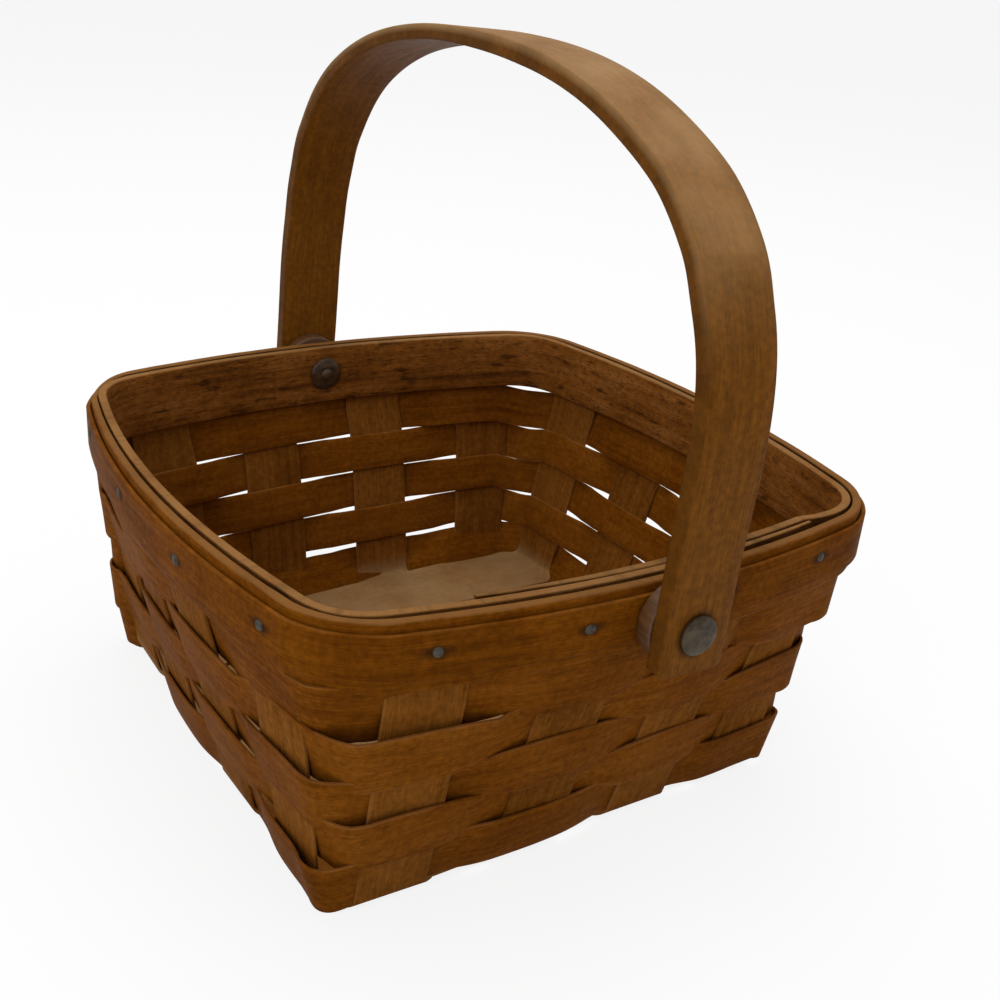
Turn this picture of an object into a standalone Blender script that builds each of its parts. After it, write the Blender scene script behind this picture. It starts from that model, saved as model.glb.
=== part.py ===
"""Berry basket: woven wood splints, three rim bands and a swing handle on two rivets.

Metres, +Z up, origin on the floor's underside at its centre. Front is -Y, right is +X.
"""
import math

import bmesh
import bpy

# Rim: the inner face of the inner band, at the middle of a wall
RIM_HEIGHT = 0.084
RIM_HALF = 0.086
RIM_SIDE_RADIUS = 0.302
RIM_CORNER_RADIUS = 0.0185

# Base: where the leaning walls would meet the table, and what is left of the rim's bow there
BASE_HALF = 0.0735
BASE_BOW_SHARE = 0.1
BASE_CORNER_RADIUS = 0.006

# Wall profile: upright behind the bands, then leaning in to a round turn under the floor
SHOULDER_RADIUS = 0.030
SHOULDER_DROP = 0.0020
FLOOR_TURN_RADIUS = 0.004

# Splints
SPLINT_WIDTH = 0.0195
SPLINT_THICKNESS = 0.0012
SPLINTS_PER_SIDE = 4
SPLINT_TOP_DROP = 0.0015
SPLINT_BASE_MARGIN = 0.006

# Weavers
WEAVER_ROWS = 5
WEAVER_WIDTH = 0.01215
WEAVER_THICKNESS = 0.0010
WEAVER_ROW_GAP = 0.0004
WEAVER_START_GAP = 0.0003
WEAVER_EDGE_MARGIN = 0.0008
WEAVER_CORNER_BULGE = 0.0016
WEAVER_END_GAP = 0.0004

# Rim bands
INNER_BAND_HEIGHT = 0.0186
INNER_BAND_THICKNESS = 0.0020
INNER_BAND_LAP_START = -0.046
INNER_BAND_LAP_END = 0.055
MIDDLE_BAND_HEIGHT = 0.0176
MIDDLE_BAND_THICKNESS = 0.0026
MIDDLE_BAND_ROUNDING = 0.0007
OUTER_BAND_HEIGHT = 0.0120
OUTER_BAND_THICKNESS = 0.0012
OUTER_BAND_DROP = 0.0022
OUTER_BAND_LAP_START = 0.034
OUTER_BAND_LAP_END = 0.066
LAP_RAMP = 0.008

# Clearances
FIT_GAP = 0.0003
WEAVE_GAP = 0.00035
POCKET_GAP = 0.00035
CUT_OVERRUN = 0.0010

# Handle
HANDLE_WIDTH = 0.0200
HANDLE_THICKNESS = 0.0046
HANDLE_EDGE_EASE = 0.0007
HANDLE_RISE = 0.1042
HANDLE_LEG_RISE = 0.0323
HANDLE_LEG_SPREAD = 0.0008
HANDLE_FOOT_DROP = 0.0102
HANDLE_FOOT_RADIUS = 0.0040
HANDLE_LEAN = math.radians(3.0)
HANDLE_ARCH_POWER = 2.315

# Rivets, burr washers and spacers
RIVET_DROP = 0.0088
RIVET_SHANK_RADIUS = 0.0015
RIVET_HEAD_RADIUS = 0.0050
RIVET_HEAD_THICKNESS = 0.0014
RIVET_HEAD_ROUNDING = 0.0005
PEEN_RADIUS = 0.0021
PEEN_HEIGHT = 0.0012
BURR_RADIUS = 0.0054
BURR_RIM_THICKNESS = 0.0008
BURR_DOME_HEIGHT = 0.0020
SPACER_RADIUS = 0.0098
SPACER_THICKNESS = 0.0048
SPACER_EDGE_EASE = 0.0005

# Tacks
TACK_DROP = 0.0075
TACK_HEAD_RADIUS = 0.0018
TACK_HEAD_THICKNESS = 0.0007
TACK_SHANK_RADIUS = 0.0006
TACK_POINT_LENGTH = 0.0012

# How finely round shapes are cut
RIVET_STEPS = 24
TACK_STEPS = 10
HOLE_STEPS = 12
ARCH_STEPS = 36
FOOT_STEPS = 3
TURN_STEPS = 5
LEAN_STEPS = 5
CORNER_SHARES = (0.12, 0.31, 0.5, 0.69, 0.88)
BAND_CORNER_SHARES = (0.1, 0.3, 0.5, 0.7, 0.9)
BAND_SIDE_STEPS = 8
MERGE = 0.00001

# What the fits come to
POCKET = SPLINT_THICKNESS + 2 * POCKET_GAP
WALL_HALF = RIM_HALF + INNER_BAND_THICKNESS + POCKET / 2
WALL_SIDE_RADIUS = RIM_SIDE_RADIUS + INNER_BAND_THICKNESS + POCKET / 2
WALL_CORNER_RADIUS = RIM_CORNER_RADIUS + INNER_BAND_THICKNESS + POCKET / 2
INNER_BAND_OUT = -(POCKET / 2 + INNER_BAND_THICKNESS / 2)
MIDDLE_BAND_OUT = POCKET / 2 + MIDDLE_BAND_THICKNESS / 2
OUTER_BAND_OUT = POCKET / 2 + MIDDLE_BAND_THICKNESS + FIT_GAP + OUTER_BAND_THICKNESS / 2
OUTER_FACE_OUT = OUTER_BAND_OUT + OUTER_BAND_THICKNESS / 2
HANDLE_FACE_OUT = OUTER_FACE_OUT + SPACER_THICKNESS + 2 * FIT_GAP
HANDLE_HALF = WALL_HALF + HANDLE_FACE_OUT + HANDLE_THICKNESS / 2
RIVET_HEIGHT = RIM_HEIGHT - RIVET_DROP
SHOULDER_HEIGHT = RIM_HEIGHT - INNER_BAND_HEIGHT - SHOULDER_DROP
WALL_LEAN = math.atan2(WALL_HALF - BASE_HALF, SHOULDER_HEIGHT)
WEAVE_OUT = SPLINT_THICKNESS / 2 + WEAVE_GAP + WEAVER_THICKNESS / 2
LOWER_FLOOR = SPLINT_THICKNESS / 2
UPPER_FLOOR = LOWER_FLOOR + SPLINT_THICKNESS + FIT_GAP
SPLINT_SPREAD = 2 * (BASE_HALF - SPLINT_BASE_MARGIN) - SPLINT_WIDTH
SPLINT_PITCH = SPLINT_SPREAD / (SPLINTS_PER_SIDE - 1)
SPLINT_PLACES = [
    (n - (SPLINTS_PER_SIDE - 1) / 2) * SPLINT_PITCH for n in range(SPLINTS_PER_SIDE)
]

PARTS = "berry_basket"
CUTTERS = "berry_basket_cutters"


def clear_scene():
    for obj in list(bpy.data.objects):
        bpy.data.objects.remove(obj)
    for collection in list(bpy.data.collections):
        bpy.data.collections.remove(collection)


def new_collection(name):
    collection = bpy.data.collections.new(name)
    bpy.context.scene.collection.children.link(collection)
    return collection


def material(name, colour, roughness, metallic=0.0):
    made = bpy.data.materials.new(name)
    made.use_nodes = True
    shader = made.node_tree.nodes["Principled BSDF"]
    shader.inputs["Base Color"].default_value = (*colour, 1.0)
    shader.inputs["Roughness"].default_value = roughness
    shader.inputs["Metallic"].default_value = metallic
    return made


# Geometry of the wall

class Ring:
    """A level line of the wall: four bowed sides and four round corners."""

    def __init__(self, half, bow, corner):
        self.radius = 1 / bow
        self.corner = corner
        self.centre = self.radius - half
        reach = self.radius - corner
        self.corner_at = (math.sqrt(2 * reach**2 - self.centre**2) - self.centre) / 2
        self.turn = math.atan2(self.corner_at, self.centre + self.corner_at)
        self.side_end = self.radius * math.sin(self.turn)

    def angle_at(self, across):
        """The direction of the outward normal, away from the middle of the side."""
        size = abs(across)
        if size <= self.side_end:
            angle = math.asin(size / self.radius)
        else:
            angle = math.asin((size - self.corner_at) / self.corner)
        return math.copysign(angle, across)

    def point(self, angle):
        """Across and outward place where the normal has this angle."""
        size = abs(angle)
        if size <= self.turn:
            across = self.radius * math.sin(size)
            out = self.radius * math.cos(size) - self.centre
        else:
            across = self.corner_at + self.corner * math.sin(size)
            out = self.corner_at + self.corner * math.cos(size)
        return math.copysign(across, angle), out


def ring_at(half):
    """The wall's level line whose sides stand this far out, between rim and base."""
    share = (WALL_HALF - half) / (WALL_HALF - BASE_HALF)
    share = min(max(share, 0.0), 1.0)
    bow = (1 - share + share * BASE_BOW_SHARE) / WALL_SIDE_RADIUS
    corner = (1 - share) * WALL_CORNER_RADIUS + share * BASE_CORNER_RADIUS
    return Ring(half, bow, corner)


class Profile:
    """The wall's middle surface in section, from the rim down to one floor level."""

    def __init__(self, floor):
        self.shoulder = SHOULDER_RADIUS * WALL_LEAN
        self.tangent = SHOULDER_RADIUS * math.tan(WALL_LEAN / 2)
        self.upright = RIM_HEIGHT - SHOULDER_HEIGHT - self.tangent
        sine, cosine = math.sin(WALL_LEAN), math.cos(WALL_LEAN)
        self.start_half = WALL_HALF - self.tangent * sine
        self.start_height = SHOULDER_HEIGHT - self.tangent * cosine
        turn_height = floor + FLOOR_TURN_RADIUS
        end_height = turn_height - FLOOR_TURN_RADIUS * sine
        self.straight = (self.start_height - end_height) / cosine
        self.end_half = self.start_half - self.straight * sine
        self.turn_half = self.end_half - FLOOR_TURN_RADIUS * cosine
        self.turn_height = turn_height
        self.turn = FLOOR_TURN_RADIUS * (math.pi / 2 - WALL_LEAN)
        self.length = self.upright + self.shoulder + self.straight + self.turn

    def at(self, along, turning=True):
        """Half width, height and how far the outward normal points down, in radians."""
        if along <= self.upright:
            return WALL_HALF, RIM_HEIGHT - along, 0.0
        along -= self.upright
        if along <= self.shoulder:
            angle = along / SHOULDER_RADIUS
            half = WALL_HALF - SHOULDER_RADIUS * (1 - math.cos(angle))
            height = RIM_HEIGHT - self.upright - SHOULDER_RADIUS * math.sin(angle)
            return half, height, angle
        along -= self.shoulder
        if along <= self.straight or not turning:
            half = self.start_half - along * math.sin(WALL_LEAN)
            height = self.start_height - along * math.cos(WALL_LEAN)
            return half, height, WALL_LEAN
        angle = min(WALL_LEAN + (along - self.straight) / FLOOR_TURN_RADIUS, math.pi / 2)
        half = self.turn_half + FLOOR_TURN_RADIUS * math.cos(angle)
        height = self.turn_height - FLOOR_TURN_RADIUS * math.sin(angle)
        return half, height, angle


FRONT_PROFILE = Profile(LOWER_FLOOR)
SIDE_PROFILE = Profile(UPPER_FLOOR)


def turned(side, across, out, height):
    """A point given on the front wall, carried to side 0 front, 1 right, 2 back or 3 left."""
    x, y = across, -out
    for _ in range(side):
        x, y = -y, x
    return (x, y, height)


def wall_point(side, normal, level, out):
    """A point of the wall where its normal has this angle in plan, moved out of the wall."""
    half, height, down = level
    ring = ring_at(half)
    across, reach = ring.point(normal)
    reach += out * math.cos(down) * math.cos(normal)
    across += out * math.cos(down) * math.sin(normal)
    return turned(side, across, reach, height - out * math.sin(down))


# Strips: an open ribbon of quads, given its thickness by Solidify

def ribbon(name, rows, thickness, finish, closed=False):
    """A strip through rows of points; each row runs across it. The solid is one closed body."""
    mesh = bpy.data.meshes.new(name)
    shape = bmesh.new()
    made = [[shape.verts.new(point) for point in row] for row in rows]
    pairs = list(zip(made[:-1], made[1:]))
    if closed:
        pairs.append((made[-1], made[0]))
    for first, second in pairs:
        for n in range(len(first) - 1):
            shape.faces.new((first[n], first[n + 1], second[n + 1], second[n]))
    bmesh.ops.recalc_face_normals(shape, faces=shape.faces)
    shape.to_mesh(mesh)
    shape.free()
    mesh.materials.append(finish)
    obj = bpy.data.objects.new(name, mesh)
    parts.objects.link(obj)
    solid = obj.modifiers.new("thickness", "SOLIDIFY")
    solid.thickness = thickness
    solid.offset = 0.0
    solid.use_even_offset = True
    solid.use_quality_normals = True
    return obj


def cut(obj, cutter):
    hole = obj.modifiers.new("cut_" + cutter.name, "BOOLEAN")
    hole.operation = "DIFFERENCE"
    hole.solver = "EXACT"
    hole.object = cutter


def splint_levels(profile):
    """Stations down the wall: rim end, shoulder, lean, then the turn to the floor."""
    shoulder_end = profile.upright + profile.shoulder
    turn_start = shoulder_end + profile.straight
    stations = [SPLINT_TOP_DROP, profile.upright]
    stations += [profile.upright + profile.shoulder * n / 3 for n in (1, 2, 3)]
    stations += [shoulder_end + profile.straight * n / LEAN_STEPS for n in range(1, LEAN_STEPS)]
    stations += [turn_start + profile.turn * n / TURN_STEPS for n in range(TURN_STEPS + 1)]
    return [profile.at(along) for along in stations]


def splint_row(side, across, level):
    """The strip's two edges at one level, both on the wall's middle surface."""
    half, height, _ = level
    ring = ring_at(half)
    reach = SPLINT_WIDTH / 2 * math.cos(ring.angle_at(across))
    row = []
    for edge in (across - reach, across + reach):
        x, out = ring.point(ring.angle_at(edge))
        row.append(turned(side, x, out, height))
    return row


def make_splint(name, side, across, profile):
    """One strip up a wall, over the floor and up the wall across from it."""
    levels = splint_levels(profile)
    rows = [splint_row(side, across, level) for level in levels]
    back = [splint_row((side + 2) % 4, -across, level) for level in reversed(levels)]
    rows += [list(reversed(row)) for row in back]
    obj = ribbon(name, rows, SPLINT_THICKNESS, splint_wood)
    cut(obj, tack_holes)
    return obj


def weave_stations():
    """Side, place and share of the full offset, once round from the front wall's left end."""
    reach = SPLINT_WIDTH / 2 + WEAVER_EDGE_MARGIN
    found = []
    for side in range(4):
        for n, place in enumerate(SPLINT_PLACES):
            upright = side * SPLINTS_PER_SIDE + n
            sign = -1 if upright % 2 == 0 else 1
            for step in (-reach, 0.0, reach):
                found.append((side, "across", place + step, sign))
            if n < SPLINTS_PER_SIDE - 1:
                found.append((side, "across", place + SPLINT_PITCH / 2, 0))
        last = SPLINT_PLACES[-1] + reach
        for share in CORNER_SHARES:
            turn = math.cos(math.pi * share)
            found.append((side, "corner", (last, share), sign * turn))
    return found


def weaver_point(station, level, parity):
    side, kind, place, sign = station
    out = sign * parity * WEAVE_OUT
    ring = ring_at(level[0])
    if kind == "across":
        return wall_point(side, ring.angle_at(place), level, out)
    last, share = place
    start = ring.angle_at(last)
    normal = start + (math.pi / 2 - 2 * start) * share
    out += WEAVER_CORNER_BULGE * math.sin(math.pi * share)
    return wall_point(side, normal, level, out)


def weaver_levels(row):
    """Levels of the strip's edges and of the wall's bend between them; no turn at the floor."""
    start = INNER_BAND_HEIGHT + WEAVER_START_GAP + row * (WEAVER_WIDTH + WEAVER_ROW_GAP)
    end = start + WEAVER_WIDTH
    shoulder_end = FRONT_PROFILE.upright + FRONT_PROFILE.shoulder
    lines = [start]
    if start < shoulder_end:
        lines += [(start + shoulder_end) / 2, shoulder_end]
    lines.append(end)
    return [FRONT_PROFILE.at(along, False) for along in lines]


def make_weaver(name, row, finish):
    """One strip round the basket, in and out of the uprights, its ends meeting out of sight."""
    stations = weave_stations()
    parity = 1 if row % 2 == 0 else -1
    meet = next(
        n
        for n, (side, kind, place, sign) in enumerate(stations)
        if side == 2 and kind == "across" and sign * parity > 0 and place in SPLINT_PLACES
    )
    order = stations[meet:] + stations[:meet]
    side, kind, place, sign = order[0]
    first = (side, kind, place + WEAVER_END_GAP / 2, sign)
    last = (side, kind, place - WEAVER_END_GAP / 2, sign)
    order = [first, *order[1:], last]
    levels = weaver_levels(row)
    rows = [[weaver_point(station, level, parity) for level in levels] for station in order]
    return ribbon(name, rows, WEAVER_THICKNESS, finish)


def band_point(side, normal, height, out):
    level = (WALL_HALF, height, 0.0)
    return wall_point(side, normal, level, out)


def side_angles():
    """Normals along one side and round its corner, as turned from the middle of that side."""
    ring = ring_at(WALL_HALF)
    steps = [-ring.turn + 2 * ring.turn * n / BAND_SIDE_STEPS for n in range(BAND_SIDE_STEPS + 1)]
    corner = math.pi / 2 - 2 * ring.turn
    return steps + [ring.turn + corner * share for share in BAND_CORNER_SHARES]


def lapped_path(whole, start, end, out, start_step, end_step):
    """Angles and offsets of a band whose ends lie over each other, one stepped off the other."""
    ring = ring_at(WALL_HALF)
    clear = 2 * math.pi - FIT_GAP / ring.radius
    ramp = LAP_RAMP / ring.radius
    low = start
    high = end
    path = [(start, out + start_step)]
    if start_step:
        leave = end - clear
        low = leave + ramp
        path += [(a, out + start_step) for a in order_from(whole, start, leave)]
        path += [(leave, out + start_step), (low, out)]
    if end_step:
        high = start + clear - ramp
    path += [(a, out) for a in order_from(whole, low, high)]
    if end_step:
        close = high + ramp
        path += [(high, out), (close, out + end_step)]
        path += [(a, out + end_step) for a in order_from(whole, close, end)]
    path.append((end, out + end_step))
    return path


def make_band(name, out, top, height, thickness, finish, meet_side, lap=None):
    """A strip bent round the rim; its ends meet, or lie over each other where it has a lap."""
    ring = ring_at(WALL_HALF)
    turn = math.pi / 2
    whole = [(side * turn + angle) for side in range(4) for angle in side_angles()]
    begin = meet_side * turn
    if lap is None:
        gap = FIT_GAP / 2 / ring.radius
        path = [(begin + gap, out)]
        path += [(a, out) for a in order_from(whole, begin + gap, begin + 2 * math.pi - gap)]
        path.append((begin + 2 * math.pi - gap, out))
    else:
        lap_from, lap_to, start_step, end_step = lap
        start = begin + ring.angle_at(lap_from)
        end = begin + 2 * math.pi + ring.angle_at(lap_to)
        path = lapped_path(whole, start, end, out, start_step, end_step)
    rows = []
    for angle, offset in path:
        side = round(angle / turn) % 4
        local = angle - round(angle / turn) * turn
        rows.append([band_point(side, local, z, offset) for z in (top, top - height)])
    return ribbon(name, rows, thickness, finish)


def order_from(angles, low, high):
    """The stations strictly between two angles, over two turns."""
    margin = math.radians(1.0) / 4
    both = sorted({round(a + 2 * math.pi * n, 9) for a in angles for n in (-1, 0, 1, 2)})
    return [a for a in both if low + margin < a < high - margin]


# Handle

def handle_line():
    """Middle line of the strip, as (y, z) from the hinge axis, from the front foot to the back."""
    leg_top = RIVET_DROP + HANDLE_LEG_RISE
    rise = HANDLE_RISE - HANDLE_LEG_RISE
    slope = HANDLE_LEG_SPREAD / (leg_top - SPACER_RADIUS)
    foot = -HANDLE_FOOT_DROP
    rounds = [math.pi / 2 * n / FOOT_STEPS for n in range(FOOT_STEPS + 1)]
    leg = [foot + HANDLE_FOOT_RADIUS * (1 - math.cos(angle)) for angle in rounds]
    leg += [SPACER_RADIUS, (SPACER_RADIUS + leg_top) / 2]
    points = [(HANDLE_HALF + slope * max(z - SPACER_RADIUS, 0.0), z) for z in leg]
    power = 2 / HANDLE_ARCH_POWER
    top_half = HANDLE_HALF + HANDLE_LEG_SPREAD
    for n in range(ARCH_STEPS // 2 + 1):
        angle = math.pi / 2 * n / (ARCH_STEPS // 2)
        y = top_half * max(math.cos(angle), 0.0) ** power
        z = leg_top + rise * math.sin(angle) ** power
        points.append((y, z))
    front = [(-y, z) for y, z in points]
    back = [(y, z) for y, z in reversed(points[:-1])]
    return front + back


def foot_half_width(z):
    """Half the strip's width, rounded off at its feet."""
    up = z + HANDLE_FOOT_DROP
    half = HANDLE_WIDTH / 2
    if up >= HANDLE_FOOT_RADIUS:
        return half
    rest = HANDLE_FOOT_RADIUS - up
    return half - HANDLE_FOOT_RADIUS + math.sqrt(HANDLE_FOOT_RADIUS**2 - rest**2)


def make_handle():
    rows = []
    for y, z in handle_line():
        half = foot_half_width(z)
        rows.append([(-half, y, z), (half, y, z)])
    obj = ribbon("handle", rows, HANDLE_THICKNESS, handle_wood)
    obj.parent = handle_axis
    ease = obj.modifiers.new("eased_edges", "BEVEL")
    ease.width = HANDLE_EDGE_EASE
    ease.segments = 1
    ease.limit_method = "ANGLE"
    ease.angle_limit = math.radians(50)
    ease.loop_slide = False
    cut(obj, rivet_holes)
    return obj


# Turned pieces, on an axis through the wall

def turned_solid(name, profile, steps, finish, side, across, out, height):
    """A closed profile of (radius, outward) points, spun about the wall's normal at a place."""
    mesh = bpy.data.meshes.new(name)
    shape = bmesh.new()
    verts = [shape.verts.new((radius, 0.0, along)) for radius, along in profile]
    for first, second in zip(verts[:-1], verts[1:]):
        shape.edges.new((first, second))
    if profile[0][0] > 0:
        shape.edges.new((verts[-1], verts[0]))
    shape.to_mesh(mesh)
    shape.free()
    mesh.materials.append(finish)
    obj = bpy.data.objects.new(name, mesh)
    parts.objects.link(obj)
    spin = obj.modifiers.new("turned", "SCREW")
    spin.steps = steps
    spin.render_steps = steps
    spin.use_merge_vertices = True
    spin.merge_threshold = MERGE
    spin.use_smooth_shade = True
    ring = ring_at(WALL_HALF)
    normal = ring.angle_at(across)
    obj.location = band_point(side, normal, height, out)
    obj.rotation_euler = (math.pi / 2, 0.0, normal + side * math.pi / 2)
    return obj


def make_rivet(name, side, inner_face):
    """Outer head, shank through the whole stack, and the end peened over the burr."""
    burr_face = inner_face - FIT_GAP - BURR_DOME_HEIGHT - FIT_GAP
    seat = HANDLE_FACE_OUT + HANDLE_THICKNESS + FIT_GAP
    head = seat + RIVET_HEAD_THICKNESS
    soft = RIVET_HEAD_ROUNDING
    profile = [
        (0.0, head),
        (RIVET_HEAD_RADIUS - soft, head),
        (RIVET_HEAD_RADIUS, head - soft),
        (RIVET_HEAD_RADIUS, seat),
        (RIVET_SHANK_RADIUS, seat),
        (RIVET_SHANK_RADIUS, burr_face),
        (PEEN_RADIUS, burr_face),
        (PEEN_RADIUS, burr_face - PEEN_HEIGHT / 3),
        (PEEN_RADIUS / 2, burr_face - PEEN_HEIGHT),
        (0.0, burr_face - PEEN_HEIGHT),
    ]
    return turned_solid(name, profile, RIVET_STEPS, rivet_metal, side, 0.0, 0.0, RIVET_HEIGHT)


def make_burr(name, side, inner_face):
    """A domed washer on the rivet's inner end."""
    seat = inner_face - FIT_GAP
    bore = RIVET_SHANK_RADIUS + FIT_GAP
    profile = [
        (bore, seat),
        (BURR_RADIUS, seat),
        (BURR_RADIUS, seat - BURR_RIM_THICKNESS),
        (PEEN_RADIUS + FIT_GAP, seat - BURR_DOME_HEIGHT),
        (bore, seat - BURR_DOME_HEIGHT),
    ]
    return turned_solid(name, profile, RIVET_STEPS, burr_metal, side, 0.0, 0.0, RIVET_HEIGHT)


def make_spacer(name, side):
    """A round wood block that holds the leg off the rim."""
    seat = OUTER_FACE_OUT + FIT_GAP
    face = seat + SPACER_THICKNESS
    bore = RIVET_SHANK_RADIUS + FIT_GAP
    ease = SPACER_EDGE_EASE
    profile = [
        (bore, face),
        (SPACER_RADIUS - ease, face),
        (SPACER_RADIUS, face - ease),
        (SPACER_RADIUS, seat + ease),
        (SPACER_RADIUS - ease, seat),
        (bore, seat),
    ]
    return turned_solid(name, profile, RIVET_STEPS, spacer_wood, side, 0.0, 0.0, RIVET_HEIGHT)


def make_tack(name, side, across, face):
    """Flat head on the outer band, and a pointed shank that ends short of the inner band."""
    seat = face + FIT_GAP
    tip = -POCKET / 2 + FIT_GAP / 2
    profile = [
        (0.0, seat + TACK_HEAD_THICKNESS),
        (TACK_HEAD_RADIUS / 2, seat + TACK_HEAD_THICKNESS),
        (TACK_HEAD_RADIUS, seat + TACK_HEAD_THICKNESS / 3),
        (TACK_HEAD_RADIUS, seat),
        (TACK_SHANK_RADIUS, seat),
        (TACK_SHANK_RADIUS, tip + TACK_POINT_LENGTH),
        (0.0, tip),
    ]
    height = RIM_HEIGHT - TACK_DROP
    return turned_solid(name, profile, TACK_STEPS, tack_metal, side, across, 0.0, height)


# Cutters

def hole_cutter(name, radius, places, start, end, height):
    """Round bores along the wall's normal at each (side, across) place."""
    mesh = bpy.data.meshes.new(name)
    shape = bmesh.new()
    for side, across in places:
        ring = ring_at(WALL_HALF)
        normal = ring.angle_at(across)
        ends = []
        for out in (start, end):
            x, y, z = band_point(side, normal, height, out)
            heading = normal + side * math.pi / 2
            loop = []
            for n in range(HOLE_STEPS):
                angle = 2 * math.pi * n / HOLE_STEPS
                slide = radius * math.cos(angle)
                lift = radius * math.sin(angle)
                at = (x + slide * math.cos(heading), y + slide * math.sin(heading), z + lift)
                loop.append(shape.verts.new(at))
            ends.append(loop)
        shape.faces.new(ends[0])
        shape.faces.new(list(reversed(ends[1])))
        for n in range(HOLE_STEPS):
            after = (n + 1) % HOLE_STEPS
            shape.faces.new((ends[0][after], ends[0][n], ends[1][n], ends[1][after]))
    bmesh.ops.recalc_face_normals(shape, faces=shape.faces)
    shape.to_mesh(mesh)
    shape.free()
    obj = bpy.data.objects.new(name, mesh)
    cutters.objects.link(obj)
    obj.hide_render = True
    obj.display_type = "WIRE"
    return obj


clear_scene()
parts = new_collection(PARTS)
cutters = new_collection(CUTTERS)

splint_wood = material("maple splint", (0.24, 0.11, 0.04), 0.55)
weaver_wood = material("maple weaver", (0.27, 0.12, 0.045), 0.55)
band_wood = material("maple band", (0.22, 0.10, 0.035), 0.5)
handle_wood = material("bent maple handle", (0.30, 0.15, 0.06), 0.45)
spacer_wood = material("turned spacer", (0.34, 0.17, 0.08), 0.5)
rivet_metal = material("aged copper rivet", (0.16, 0.14, 0.11), 0.55, 0.8)
burr_metal = material("aged copper burr", (0.12, 0.08, 0.05), 0.5, 0.8)
tack_metal = material("steel tack", (0.2, 0.18, 0.16), 0.6, 0.8)

tack_places = [(side, across) for side in range(4) for across in SPLINT_PLACES]
tack_bore = TACK_SHANK_RADIUS + FIT_GAP
lap_step = INNER_BAND_THICKNESS + FIT_GAP
outer_lap_step = OUTER_BAND_THICKNESS + FIT_GAP
tack_end = OUTER_FACE_OUT + outer_lap_step + CUT_OVERRUN
tack_height = RIM_HEIGHT - TACK_DROP
tack_holes = hole_cutter("tack_holes", tack_bore, tack_places, -POCKET / 2, tack_end, tack_height)
rivet_start = INNER_BAND_OUT - INNER_BAND_THICKNESS / 2 - lap_step - CUT_OVERRUN
rivet_end = HANDLE_FACE_OUT + HANDLE_THICKNESS + CUT_OVERRUN
rivet_bore = RIVET_SHANK_RADIUS + FIT_GAP
rivet_places = [(side, 0.0) for side in range(0, 4, 2)]
rivet_holes = hole_cutter("rivet_holes", rivet_bore, rivet_places, rivet_start, rivet_end, RIVET_HEIGHT)

for n, place in enumerate(SPLINT_PLACES):
    make_splint(f"splint_front_back_{n + 1}", 0, place, FRONT_PROFILE)
for n, place in enumerate(SPLINT_PLACES):
    make_splint(f"splint_left_right_{n + 1}", 1, place, SIDE_PROFILE)

for row in range(WEAVER_ROWS):
    make_weaver(f"weaver_row_{row + 1}", row, weaver_wood)

inner_band = make_band(
    "inner_band",
    INNER_BAND_OUT,
    RIM_HEIGHT,
    INNER_BAND_HEIGHT,
    INNER_BAND_THICKNESS,
    band_wood,
    0,
    (INNER_BAND_LAP_START, INNER_BAND_LAP_END, -lap_step, 0.0),
)
middle_band = make_band(
    "middle_band",
    MIDDLE_BAND_OUT,
    RIM_HEIGHT,
    MIDDLE_BAND_HEIGHT,
    MIDDLE_BAND_THICKNESS,
    band_wood,
    1,
)
outer_band = make_band(
    "outer_band",
    OUTER_BAND_OUT,
    RIM_HEIGHT - OUTER_BAND_DROP,
    OUTER_BAND_HEIGHT,
    OUTER_BAND_THICKNESS,
    band_wood,
    2,
    (OUTER_BAND_LAP_START, OUTER_BAND_LAP_END, 0.0, outer_lap_step),
)
rounding = middle_band.modifiers.new("rounded_top", "BEVEL")
rounding.width = MIDDLE_BAND_ROUNDING
rounding.segments = 1
rounding.limit_method = "ANGLE"
rounding.angle_limit = math.radians(50)
for band in (inner_band, middle_band, outer_band):
    cut(band, rivet_holes)
for band in (middle_band, outer_band):
    cut(band, tack_holes)

handle_axis = bpy.data.objects.new("handle_axis", None)
handle_axis.location = (0.0, 0.0, RIVET_HEIGHT)
handle_axis.rotation_euler = (0.0, HANDLE_LEAN, 0.0)
parts.objects.link(handle_axis)
handle = make_handle()

inner_face = -(POCKET / 2 + INNER_BAND_THICKNESS)
for label, side, face in (("front", 0, inner_face - lap_step), ("back", 2, inner_face)):
    make_rivet(f"rivet_{label}", side, face)
    make_burr(f"burr_{label}", side, face)
    make_spacer(f"spacer_{label}", side)

for label, side in (("front", 0), ("right", 1), ("back", 2), ("left", 3)):
    for n, place in enumerate(SPLINT_PLACES):
        lapped = side == 2 and OUTER_BAND_LAP_START < place < OUTER_BAND_LAP_END
        face = OUTER_FACE_OUT + (outer_lap_step if lapped else 0.0)
        make_tack(f"tack_{label}_{n + 1}", side, place, face)
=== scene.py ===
import math

import bmesh
import bpy
from mathutils import Matrix, Vector


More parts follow.
